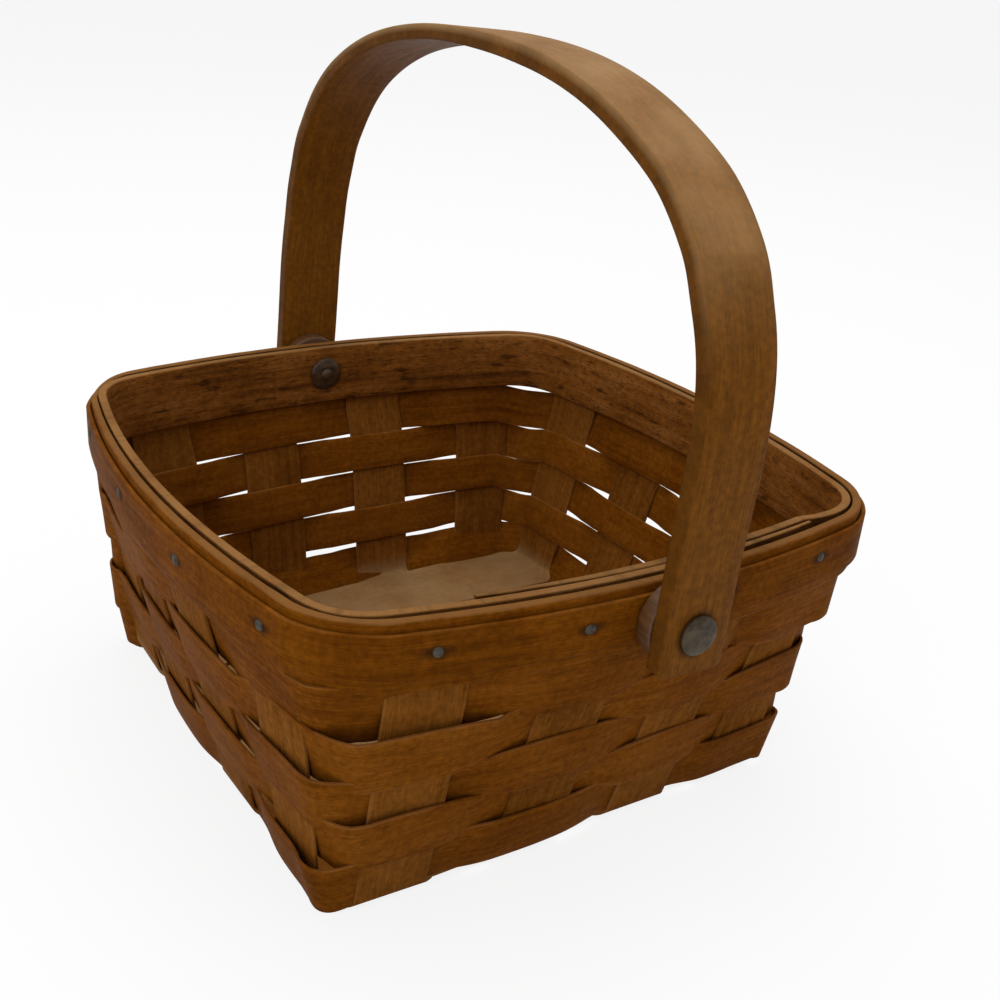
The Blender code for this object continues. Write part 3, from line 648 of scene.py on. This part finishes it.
# Where the ends lap along the front wall and the back wall, and the middle band's gap
INNER_ENDS = (-46 * MM, 55 * MM)
OUTER_ENDS = (34 * MM, 66 * MM)
BUTT_GAP = 0.3 * MM
LAP_GAP = 0.3 * MM
LAP_RAMP = 8.0 * MM
TIP_THINNING = 0.6
BAND_TURN = math.radians(1.0)
BAND_STEP = 2 * MM

# The outer bands are pressed in at the corners: where, in degrees, and how far, in mm. The
# middle one is pared by a share of that, and the inner one swells out there
CORNER_PRESSES = ((45, 0.7), (135, 0.4), (238, 2.8), (315, 0.3))
CORNER_REACH = math.radians(55)
PARED_SHARE = 0.55
INNER_SWELL = 0.6 * MM

# Where the tacks are driven along each wall, in mm, and how far below the rim
WALL_TACKS = (
    (-57.4, -21.5, 18.5, 52.5),
    (-59.0, -18.0, 20.5, 56.5),
    (-57.0, -20.0, 17.0, 59.0),
    (-56.0, -15.0, 24.5, 61.0),
)
TACK_DROPS = [drop * MM for drop in (7.2, 7.9, 7.4, 6.9)]


def pressed_in(angle):
    """How far the outer bands have been pressed towards the inner one at the corners."""
    press = 0.0
    for corner, depth in CORNER_PRESSES:
        away = abs((angle - math.radians(corner) + math.pi) % (2 * math.pi) - math.pi)
        press += depth * MM * max(math.cos(min(away / CORNER_REACH, 1.0) * QUARTER_TURN), 0.0) ** 2
    return press


tack_places = []
for side, places in enumerate(WALL_TACKS):
    for n, place in enumerate(places):
        heading = heading_at(WALL_HALF, place * MM)
        out = OUTER_FACE + LAP_GAP + OUTER_BAND[1] - pressed_in(heading + side * QUARTER_TURN)
        if side == 2 and place * MM > OUTER_ENDS[0]:
            out += OUTER_BAND[1] + LAP_GAP
        height = RIM_TOP - TACK_DROPS[(n + side) % 4]
        tack_places.append(on_wall(side, heading, WALL_HALF, height, 0.0, out))


def pocket_shade_and_rubbed_top(tree, colour, place, part, fibre, pocket=-1.0):
    """Painted shade darkens the pocket between the bands, and a band's top is worn through in patches."""
    face = add(tree, "ShaderNodeAttribute", attribute_name="face").outputs["Fac"]
    inward = add(tree, "ShaderNodeMath", {0: face, 1: pocket}, operation="MULTIPLY")
    # Painted shade: the face towards the pocket between the bands is darkened
    colour = laid_over(tree, colour, "#1a0f05", inward, 1.0 * MM, 1.3 * MM, 0.0, 0.9)
    height = add(tree, "ShaderNodeSeparateXYZ", {0: place}).outputs["Z"]
    patch = add(tree, "ShaderNodeTexNoise", {"Vector": place, "Scale": 110.0, "Detail": 3.0})
    ragged = add(tree, "ShaderNodeMath", {0: patch, 1: fibre}, operation="ADD")
    level = {0: ragged, 1: 0.6 * MM, 2: height}
    level = add(tree, "ShaderNodeMath", level, operation="MULTIPLY_ADD")
    return laid_over(tree, colour, "#7d5a34", level, RIM_TOP + 0.05 * MM, RIM_TOP + 0.6 * MM, 0.0, 0.5)


def smeared_and_rubbed(tree, colour, place, part, fibre):
    """Each tack's iron has bled along the fibres, and hands have rubbed the top edge bare."""
    smear = Vector((1 / 5.0, 1 / 5.0, 1 / 2.2)) / MM
    ragged = add(tree, "ShaderNodeTexNoise", {"Vector": place, "Scale": 420.0, "Detail": 2.0})
    for centre, _ in tack_places:
        gap = add(tree, "ShaderNodeVectorMath", {0: place, 1: centre}, operation="SUBTRACT")
        drawn = add(tree, "ShaderNodeVectorMath", {0: gap, 1: smear}, operation="MULTIPLY")
        far = add(tree, "ShaderNodeVectorMath", {0: drawn}, operation="LENGTH").outputs["Value"]
        far = add(tree, "ShaderNodeMath", {0: ragged, 1: 0.7, 2: far}, operation="MULTIPLY_ADD")
        colour = laid_over(tree, colour, "#2b1a0c", far, 0.55, 1.4, 0.85, 0.0)
    return pocket_shade_and_rubbed_top(tree, colour, place, part, fibre)


def torn_and_rubbed(tree, colour, place, part, fibre):
    """The saw has torn dark hollows along the fibres, and the top is rubbed bare."""
    drawn = add(tree, "ShaderNodeCombineXYZ", {"X": part["X"], "Y": part["Y"]})
    torn = {0: drawn, 1: Vector((110.0, 420.0, 0.0))}
    drawn = add(tree, "ShaderNodeVectorMath", torn, operation="MULTIPLY")
    hollow = add(tree, "ShaderNodeTexNoise", {"Vector": drawn, "Scale": 1.0, "Detail": 4.0})
    colour = laid_over(tree, colour, "#2a1606", hollow, 0.55, 0.7, 0.0, 0.7)
    return pocket_shade_and_rubbed_top(tree, colour, place, part, fibre, 1.0)


# Sliced maple band: planed smooth and stained on its outer face, with the long grain
# of a sliced board, dark tack stains, and a top rubbed down to pale wood.
band_wood = stained_maple(
    "stained maple band",
    pale="#75430a",
    body="#673806",
    deep="#4f2803",
    edge="#8a5e32",
    bare=0.15,
    fibre_mm=8.0,
    flecks=0.45,
    rough=0.5,
    sheen=0.01,
    extra=smeared_and_rubbed,
)

# Sawn maple band: the saw has left the inner face rough, so the stain lies darker in
# long torn fibres. Its top is rubbed like the others.
sawn_wood = stained_maple(
    "sawn and stained maple band",
    pale="#945f2e",
    body="#784718",
    deep="#3c1f06",
    edge="#8f693c",
    bare=0.45,
    fibre_mm=7.0,
    flecks=0.85,
    rough=0.62,
    sheen=0.03,
    extra=torn_and_rubbed,
)


def band_line(out, height, start, stop, start_step=0.0, end_step=0.0, pared=0.0):
    """Round the rim from one heading to another, one end stepping off the other.

    Whichever end is stepped lies clear of the other's face, and both are pared thin
    towards their tips.
    """
    count = round((stop - start) / BAND_TURN)
    ramp = LAP_RAMP / WALL_BOW_RADIUS
    lap = stop - start - 2 * math.pi
    line = []
    for n in range(count + 1):
        angle = start + (stop - start) * n / count
        step = start_step * eased((start + lap + ramp - angle) / ramp)
        step += end_step * eased((angle - stop + lap + ramp) / ramp)
        thin = 0.0
        if lap > 0.0:
            tip = max(1 - (angle - start) / (0.5 * lap), 1 - (stop - angle) / (0.5 * lap), 0.0)
            thin = TIP_THINNING * tip
        if out > 0.0:
            press = pressed_in(angle)
            step -= press * (1 - pared / 2)
            thin = max(thin, press * pared / MIDDLE_BAND[1])
        else:
            step += INNER_SWELL * abs(math.sin(2 * angle)) ** 3
        side = round(angle / QUARTER_TURN)
        heading = angle - side * QUARTER_TURN
        point, facing = on_wall(side % 4, heading, WALL_HALF, height, 0.0, out + step)
        line.append((point, facing, 0.0, thin))
    return line


def even_band(*args, **options):
    """The same line with evenly spread stations."""
    line = band_line(*args, **options)
    spread = [line[0]]
    for first, second in zip(line[:-1], line[1:]):
        pieces = max(1, round((second[0] - first[0]).length / BAND_STEP))
        for n in range(1, pieces + 1):
            share = n / pieces
            facing = first[1].lerp(second[1], share).normalized()
            thin = first[3] + (second[3] - first[3]) * share
            spread.append((first[0].lerp(second[0], share), facing, 0.0, thin))
    return spread


def heading_of(side, across):
    """The angle round the rim, counted on from the front wall's middle."""
    return side * QUARTER_TURN + heading_at(WALL_HALF, across)


inner_step = -(INNER_BAND[1] + LAP_GAP)
inner_line = even_band(
    -(POCKET_HALF + INNER_BAND[1] / 2),
    RIM_TOP - INNER_BAND[0] / 2,
    heading_of(0, INNER_ENDS[0]),
    heading_of(4, INNER_ENDS[1]),
    start_step=inner_step,
)
middle_line = even_band(
    POCKET_HALF + MIDDLE_BAND[1] / 2,
    RIM_TOP - MIDDLE_BAND[0] / 2,
    heading_of(1, 0.0),
    heading_of(5, -BUTT_GAP),
    pared=PARED_SHARE,
)
outer_line = even_band(
    OUTER_FACE + LAP_GAP + OUTER_BAND[1] / 2,
    RIM_TOP - OUTER_DROP - OUTER_BAND[0] / 2,
    heading_of(2, OUTER_ENDS[0]),
    heading_of(6, OUTER_ENDS[1]),
    end_step=OUTER_BAND[1] + LAP_GAP,
)
rim_bands = (
    ("sawn_inner_band", "inner_band", inner_line, INNER_BAND, 0.35 * MM, sawn_wood, 0.2),
    ("rounded_middle_band", "middle_band", middle_line, MIDDLE_BAND, 1.1 * MM, band_wood, 0.3),
    ("planed_outer_band", "outer_band", outer_line, OUTER_BAND, 0.45 * MM, band_wood, -0.2),
)
for seed, (name, node, line, size, ease, finish, tone) in zip(BAND_SEEDS, rim_bands):
    band = bent_strip(name, line, size, (ease, BAND_WANDER, BAND_RIPPLE), seed, tone, finish)
    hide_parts(node)
    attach(band, "basket")


# Tacks: one blued steel tack through the bands at every upright, its low domed head
# driven down to the wood and gone dull grey.

TACK_WIDTH = 2.9 * MM
TACK_HEIGHT = 0.5 * MM


def tack_tree():
    """One domed head on each guide point, turned to face out of the band."""
    numbers = ("Head Width", "Head Height")
    sockets = [("Guide", "Geometry"), *((label, "Float") for label in numbers), ("Finish", "Material")]
    tree, given = new_tree("driven tack heads", sockets, "Heads")
    radius = add(tree, "ShaderNodeMath", {0: given["Head Width"], 1: 0.5}, operation="MULTIPLY")
    ball = add(tree, "GeometryNodeMeshUVSphere", {"Segments": 16, "Rings": 10, "Radius": 1.0})
    size = add(tree, "ShaderNodeCombineXYZ", {"X": radius, "Y": radius, "Z": given["Head Height"]})
    head = add(tree, "GeometryNodeTransform", {"Geometry": ball, "Scale": size})
    facing = add(tree, "GeometryNodeInputNamedAttribute", {"Name": "facing"}, data_type="FLOAT_VECTOR")
    turned = {"Vector": facing.outputs["Attribute"]}
    turned = add(tree, "FunctionNodeAlignEulerToVector", turned, axis="Z")
    uneven = {"Min": (0.86, 0.8, 0.8), "Max": (1.05, 1.0, 1.05), "Seed": 5}
    uneven = add(tree, "FunctionNodeRandomValue", uneven, data_type="FLOAT_VECTOR").outputs["Value"]
    heads = {"Points": given["Guide"], "Instance": head, "Rotation": turned, "Scale": uneven}
    heads = add(tree, "GeometryNodeInstanceOnPoints", heads)
    end_tree(tree, heads, given["Finish"], "Heads")
    return tree


def aged_metal(name, bright, dark, rough, scale, metallic):
    """Metal gone dull: a mottled skin over what shine is left, with small pits."""
    made, tree, shader, where = new_finish(name)
    skin = {"Vector": where, "Scale": scale, "Detail": 5.0, "Roughness": 0.65}
    skin = add(tree, "ShaderNodeTexNoise", skin)
    ramp = add(tree, "ShaderNodeValToRGB", {0: skin})
    stops = ramp.color_ramp.elements
    stops[0].position, stops[0].color = 0.36, stain(dark)
    stops[1].position, stops[1].color = 0.66, stain(bright)
    limits = {"From Min": 0.3, "From Max": 0.7, "To Min": rough + 0.12, "To Max": rough - 0.1}
    dull = add(tree, "ShaderNodeMapRange", {"Value": skin, **limits})
    bump = add(tree, "ShaderNodeBump", {"Strength": 0.4, "Distance": 0.08 * MM, "Height": skin})
    feed(shader, {"Base Color": ramp, "Roughness": dull, "Normal": bump, "Metallic": metallic})
    return made


# Steel tack: blued steel gone grey and brown in small spots, with little shine left.
tack_metal = aged_metal("dulled tack steel", "#4d473a", "#28231a", 0.68, 900.0, 0.2)
guide = bpy.data.meshes.new("tack guide")
guide.from_pydata([point for point, _ in tack_places], [], [])
way = guide.attributes.new("facing", "FLOAT_VECTOR", "POINT")
for n, (_, facing) in enumerate(tack_places):
    way.data[n].vector = facing
sizes = {"Head Width": TACK_WIDTH, "Head Height": TACK_HEIGHT, "Finish": tack_metal}
tacks = made_by("driven_tacks", guide, tack_tree(), sizes)
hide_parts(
    *[f"tack_{wall}_{n}" for wall in ("front", "right", "back", "left") for n in range(1, 5)]
)
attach(tacks, "basket")


# Spacers: a round maple block behind each foot of the handle holds it off the rim.
# It is turned and stained, with both its edges eased.

HINGE_HEIGHT = 75.2 * MM
FIT_GAP = 0.3 * MM
SPACER_RADIUS = 9.8 * MM
SPACER_THICKNESS = 4.8 * MM
SPACER_EASE = 0.5 * MM
SPACER_FACE = WALL_HALF + OUTER_FACE + LAP_GAP + OUTER_BAND[1] + FIT_GAP


def turned_piece(name, outline, steps, side, finish):
    """An outline of (radius, outward place) points, turned about the hinge's line."""
    shape = bmesh.new()
    ring = [shape.verts.new((radius, 0.0, out)) for radius, out in outline]
    edges = [shape.edges.new(pair) for pair in zip(ring[:-1], ring[1:])]
    turn = {"axis": (0, 0, 1), "cent": (0, 0, 0), "angle": 2 * math.pi, "use_duplicate": False}
    bmesh.ops.spin(shape, geom=ring + edges, steps=steps, **turn)
    bmesh.ops.remove_doubles(shape, verts=shape.verts, dist=0.002 * MM)
    bmesh.ops.recalc_face_normals(shape, faces=shape.faces)
    facing_out = Matrix.Rotation(QUARTER_TURN, 4, "X")
    round_to_side = Matrix.Rotation(side * QUARTER_TURN, 4, "Z")
    lift = Matrix.Translation((0, 0, HINGE_HEIGHT))
    bmesh.ops.transform(shape, matrix=lift @ round_to_side @ facing_out, verts=shape.verts)
    mesh = bpy.data.meshes.new(name)
    shape.to_mesh(mesh)
    shape.free()
    mesh.materials.append(finish)
    mesh.shade_smooth()
    mesh.set_sharp_from_angle(angle=math.radians(48))
    piece = bpy.data.objects.new(name, mesh)
    basket_parts.objects.link(piece)
    return piece


def turned_maple(name, pale, deep):
    """Sawn and turned maple: short flecks of crossed fibres under an even stain."""
    made, tree, shader, where = new_finish(name)
    drawn = add(tree, "ShaderNodeMapping", {"Vector": where, "Scale": (2200.0, 160.0, 900.0)})
    fleck = add(tree, "ShaderNodeTexNoise", {"Vector": drawn, "Scale": 1.0, "Detail": 3.0})
    ramp = add(tree, "ShaderNodeValToRGB", {0: fleck})
    stops = ramp.color_ramp.elements
    stops[0].position, stops[0].color = 0.34, stain(deep)
    stops[1].position, stops[1].color = 0.62, stain(pale)
    bump = add(tree, "ShaderNodeBump", {"Strength": 0.35, "Distance": 0.1 * MM, "Height": fleck})
    feed(shader, {"Base Color": ramp, "Normal": bump, "Roughness": 0.55})
    return made


# Turned maple block: the same wood as the bands under the same stain, dull and dark,
# with short flecks where the knife crossed the fibres.
spacer_wood = turned_maple("turned and stained maple", "#5a3712", "#442508")
spacer_back = SPACER_FACE + SPACER_THICKNESS
spacer_outline = [
    (0.0, SPACER_FACE),
    (SPACER_RADIUS - SPACER_EASE, SPACER_FACE),
    (SPACER_RADIUS - 0.3 * SPACER_EASE, SPACER_FACE + 0.3 * SPACER_EASE),
    (SPACER_RADIUS, SPACER_FACE + SPACER_EASE),
    (SPACER_RADIUS, spacer_back - SPACER_EASE),
    (SPACER_RADIUS - 0.3 * SPACER_EASE, spacer_back - 0.3 * SPACER_EASE),
    (SPACER_RADIUS - SPACER_EASE, spacer_back),
    (0.0, spacer_back),
]
for label, side in (("front", 0), ("back", 2)):
    spacer = turned_piece(f"turned_spacer_{label}", spacer_outline, 64, side, spacer_wood)
    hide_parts(f"spacer_{label}")
    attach(spacer, "basket")


# Handle: one maple strip, planed and sanded, steamed over a form into a wide arch. Its
# legs hang outside the rim and swing on the rivets. Its edges are eased by hand.

HANDLE_SIZE = (19.9 * MM, 4.6 * MM)
HANDLE_EDGES = (0.45 * MM, 0.25 * MM, 0.2 * MM)
HANDLE_SEED = 7.7
HANDLE_TONE = 0.25
HANDLE_HALF = spacer_back + FIT_GAP + HANDLE_SIZE[1] / 2
HANDLE_LEAN = math.radians(3.0)

# Heights above the hinge, the feet's rounding, and the roundness of the arch
HANDLE_TOP = 112.9 * MM
LEG_TOP = 41.1 * MM
LEG_SPREAD = 0.8 * MM
FOOT_DROP = 10.2 * MM
FOOT_ROUND = 3.0 * MM
ARCH_POWER = 2.315
FOOT_STEPS = 8
LEG_STEPS = 16
ARCH_STEPS = 60

# How far the front and back halves have warped sideways, as (height above the hinge, warp)
NEAR_WARP = (
    (-11, 0.0), (5, 0.0), (25, -0.4), (50, -0.8), (72, -0.6), (84, 0.4), (94, 0.7), (104, -0.4), (114, -0.6)
)
FAR_WARP = ((-11, 0.0), (30, 0.2), (50, 0.8), (62, 0.7), (76, 0.0), (98, -1.3), (106, -1.4), (114, -0.6))

# The legs are narrower than the arch, the back one less so, and the arch thins to the back
LEG_NARROWING = 0.55 * MM
BACK_NARROWING = 0.3
NARROW_BELOW = 90 * MM
BACK_THINNING = 0.16
THIN_ABOVE = 60 * MM
BACK_FROM = -20 * MM
WEAR_BLEND = 40 * MM


def rivet_rust_and_highlit_top(tree, colour, place, part, fibre):
    """Rust has crept out from under the rivet; the arch's top is paler, partly worn, partly painted
    highlight.
    """
    near = add(tree, "ShaderNodeMath", {0: part["X"], 1: FOOT_DROP}, operation="SUBTRACT")
    spot = add(tree, "ShaderNodeCombineXYZ", {"X": near, "Y": part["Y"]})
    far = add(tree, "ShaderNodeVectorMath", {0: spot}, operation="LENGTH").outputs["Value"]
    colour = laid_over(tree, colour, "#2e1808", far, 4.6 * MM, 7.0 * MM, 0.8, 0.0)
    # Partly wear, partly painted highlight: the outer face of the arch's top is paler, where hands rub it
    # and where light from above falls
    height = add(tree, "ShaderNodeSeparateXYZ", {0: place}).outputs["Z"]
    limits = {"Value": height, "From Min": 130 * MM, "From Max": 184 * MM}
    high = add(tree, "ShaderNodeMapRange", limits, interpolation_type="SMOOTHSTEP")
    face = add(tree, "ShaderNodeAttribute", attribute_name="face").outputs["Fac"]
    limits = {"Value": face, "From Min": 0.0, "From Max": 1.5 * MM, "To Max": 0.75}
    outside = add(tree, "ShaderNodeMapRange", limits)
    held = add(tree, "ShaderNodeMath", {0: high, 1: outside}, operation="MULTIPLY")
    patch = add(tree, "ShaderNodeTexNoise", {"Vector": place, "Scale": 60.0, "Detail": 4.0})
    worn = add(tree, "ShaderNodeMath", {0: held, 1: patch}, operation="MULTIPLY")
    worn = {0: worn, 6: colour, 7: stain("#ae8c60")}
    return add(tree, "ShaderNodeMix", worn, data_type="RGBA").outputs[2]


# Sanded maple handle: smoother and more worn than the strips, so it has a soft sheen
# and a long calm figure, with its edges darkened as painted shade.
handle_wood = stained_maple(
    "sanded and stained maple handle",
    pale="#764812",
    body="#6a3f0d",
    deep="#5c3409",
    # Painted shade: the handle's narrow edges are darkened all along its length
    edge="#40260b",
    bare=0.5,
    fibre_mm=8.0,
    flecks=0.35,
    rough=0.5,
    sheen=0.04,
    extra=rivet_rust_and_highlit_top,
)


def handle_line():
    """The strip's middle line from the front foot over the arch to the back foot."""
    half = []
    for n in range(FOOT_STEPS + 1):
        up = FOOT_ROUND * (1 - math.cos(QUARTER_TURN * n / FOOT_STEPS))
        rest = FOOT_ROUND - up
        less = FOOT_ROUND - math.sqrt(max(FOOT_ROUND**2 - rest**2, 0.0))
        half.append((HANDLE_HALF, up - FOOT_DROP, less))
    for n in range(1, LEG_STEPS + 1):
        z = FOOT_ROUND - FOOT_DROP + (LEG_TOP + FOOT_DROP - FOOT_ROUND) * n / LEG_STEPS
        spread = LEG_SPREAD * max(z - SPACER_RADIUS, 0.0) / (LEG_TOP - SPACER_RADIUS)
        half.append((HANDLE_HALF + spread, z, 0.0))
    rise = HANDLE_TOP - LEG_TOP
    for n in range(1, ARCH_STEPS + 1):
        angle = QUARTER_TURN * n / ARCH_STEPS
        y = (HANDLE_HALF + LEG_SPREAD) * max(math.cos(angle), 0.0) ** (2 / ARCH_POWER)
        half.append((y, LEG_TOP + rise * math.sin(angle) ** (2 / ARCH_POWER), 0.0))
    flat = [(-y, z, less) for y, z, less in half] + list(reversed(half[:-1]))
    lean = Matrix.Rotation(HANDLE_LEAN, 3, "Y")
    line = []
    for n, (y, z, less) in enumerate(flat):
        before, after = flat[max(n - 1, 0)], flat[min(n + 1, len(flat) - 1)]
        along = Vector((0.0, after[0] - before[0], after[1] - before[1])).normalized()
        facing = lean @ Vector((0.0, -along.z, along.y))
        bends = NEAR_WARP if y < 0.0 else FAR_WARP
        for (low, first), (high, second) in zip(bends[:-1], bends[1:]):
            if low * MM <= z <= high * MM:
                warp = first + (second - first) * eased((z / MM - low) / (high - low))
        leg = LEG_NARROWING if y < 0.0 else BACK_NARROWING * LEG_NARROWING
        less = max(less, leg * eased((NARROW_BELOW - z) / WEAR_BLEND))
        behind = min(max((y - BACK_FROM) / WEAR_BLEND, 0.0), 1.0)
        thin = BACK_THINNING * min(max((z - THIN_ABOVE) / WEAR_BLEND, 0.0), 1.0) * behind
        point = lean @ Vector((warp * MM, y, z)) + Vector((0, 0, HINGE_HEIGHT))
        line.append((point + facing * (thin * HANDLE_SIZE[1] / 2), facing, less, thin))
    return line


handle = bent_strip(
    "bentwood_handle", handle_line(), HANDLE_SIZE, HANDLE_EDGES, HANDLE_SEED, HANDLE_TONE, handle_wood
)
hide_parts("handle")
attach(handle, "handle")


# Rivets and burrs: a flat-headed rivet goes in from outside through leg, spacer and
# bands, takes a domed burr inside, and is hammered over it. Both have gone brown.

# Outlines from the middle to the edge and back, as (radius, height off the wood) in mm
RIVET_CROWN = (
    *((0.0, 1.35), (2.4, 1.36), (3.9, 1.22), (4.75, 0.95), (4.95, 0.7)),
    *((5.0, 0.45), (4.95, 0.1), (4.7, -0.3), (0.0, -0.3)),
)
BURR_DOME = (
    *((0.0, 3.0), (0.9, 2.95), (1.6, 2.6), (2.0, 2.15), (2.2, 1.95), (2.9, 2.0)),
    *((3.7, 1.75), (4.6, 1.2), (5.3, 0.8), (5.4, 0.5), (5.3, 0.1), (4.9, -0.1), (0.0, -0.1)),
)

# Rivet: coppered iron worn to a mottled grey-brown skin, with little metal shine left.
rivet_metal = aged_metal("browned rivet iron", "#4e4028", "#34291a", 0.6, 420.0, 0.3)
# Burr: pressed brass gone almost black, with brown showing through in patches.
burr_metal = aged_metal("blackened burr brass", "#533619", "#28180a", 0.5, 380.0, 0.35)
for label, side, lap in (("front", 0, -inner_step), ("back", 2, 0.0)):
    head = HANDLE_HALF + HANDLE_SIZE[1] / 2 + FIT_GAP
    crown = [(radius * MM, head + high * MM) for radius, high in RIVET_CROWN]
    rivet = turned_piece(f"flat_rivet_{label}", crown, 48, side, rivet_metal)
    face = WALL_HALF - POCKET_HALF - INNER_BAND[1] - lap
    dome = [(radius * MM, face - high * MM) for radius, high in BURR_DOME]
    burr = turned_piece(f"domed_burr_{label}", dome, 48, side, burr_metal)
    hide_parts(f"rivet_{label}")
    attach(rivet, "basket")
    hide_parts(f"burr_{label}")
    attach(burr, "basket")


# Floor, light and camera: a plain white floor in a small photo tent, with a large soft
# light overhead and a smaller one from the left, and the camera where the photo's was.

FLOOR_REACH = 6.0
FLOOR_GLOW = 0.85
WHITE = (1.0, 1.0, 1.0, 1.0)
PAPER_WHITE = (0.82, 0.82, 0.82, 1.0)
TENT_LIGHT = 0.55
LIGHT_AIM = Vector((0.0, 0.0, 0.07))
FLOOR_CORNERS = ((-1, -1), (1, -1), (1, 1), (-1, 1))

floor_mesh = bpy.data.meshes.new("floor")
corners = [(x * FLOOR_REACH, y * FLOOR_REACH, 0) for x, y in FLOOR_CORNERS]
floor_mesh.from_pydata(corners, [], [(0, 1, 2, 3)])
floor = bpy.data.objects.new("floor", floor_mesh)
bpy.context.scene.collection.objects.link(floor)

# White paper: matt, and lit through from below, so that the camera sees it almost white
# while it still takes the basket's soft shadow.
paper, tree, sheet, _ = new_finish("white paper sweep")
feed(sheet, {"Base Color": PAPER_WHITE, "Roughness": 0.9})
seen = add(tree, "ShaderNodeLightPath").outputs
glow = add(tree, "ShaderNodeEmission", {"Color": WHITE, "Strength": 1.0})
straight = {0: seen["Is Camera Ray"], 1: seen["Is Glossy Ray"]}
straight = add(tree, "ShaderNodeMath", straight, operation="MAXIMUM")
straight = {0: straight, 1: seen["Is Transmission Ray"]}
straight = add(tree, "ShaderNodeMath", straight, operation="MAXIMUM")
part_glow = add(tree, "ShaderNodeMath", {0: straight, 1: FLOOR_GLOW}, operation="MULTIPLY")
blend = add(tree, "ShaderNodeMixShader", {0: part_glow, 1: sheet, 2: glow})
feed(tree.nodes["Material Output"], {"Surface": blend})
floor_mesh.materials.append(paper)

world = bpy.data.worlds.new("photo tent")
bpy.context.scene.world = world
world.use_nodes = True
tree = world.node_tree
seen = add(tree, "ShaderNodeLightPath").outputs
plain = {0: seen["Is Camera Ray"], 1: seen["Is Transmission Ray"]}
plain = add(tree, "ShaderNodeMath", plain, operation="MAXIMUM")
strength = add(tree, "ShaderNodeMapRange", {"Value": plain, "To Min": TENT_LIGHT, "To Max": 1.0})
feed(tree.nodes["Background"], {"Color": WHITE, "Strength": strength})


def soft_light(name, place, size, power):
    """A square soft light that looks at the basket."""
    lamp = bpy.data.lights.new(name, "AREA")
    lamp.shape = "SQUARE"
    lamp.size = size
    lamp.energy = power
    holder = bpy.data.objects.new(name, lamp)
    holder.location = place
    holder.rotation_euler = (LIGHT_AIM - Vector(place)).to_track_quat("-Z", "Y").to_euler()
    bpy.context.scene.collection.objects.link(holder)


soft_light("overhead tent light", (0.1, 0.25, 1.1), 1.0, 9.0)
soft_light("left window light", (-0.9, -0.5, 0.8), 0.7, 4.0)

camera_data = bpy.data.cameras.new("photo view")
camera_data.sensor_width = 36.0
camera_data.lens = 47.39
camera_data.shift_y = 0.06
camera = bpy.data.objects.new("photo view", camera_data)
right = (0.83940, -0.53778, 0.07871)
up = (0.18102, 0.41317, 0.89248)
back = (-0.51248, -0.73490, 0.44417)
turned = Matrix((right, up, back)).transposed().to_4x4()
camera.matrix_world = Matrix.Translation((-0.1859, -0.2909, 0.2182)) @ turned
bpy.context.scene.collection.objects.link(camera)
bpy.context.scene.camera = camera
bpy.context.scene.view_settings.view_transform = "Standard"
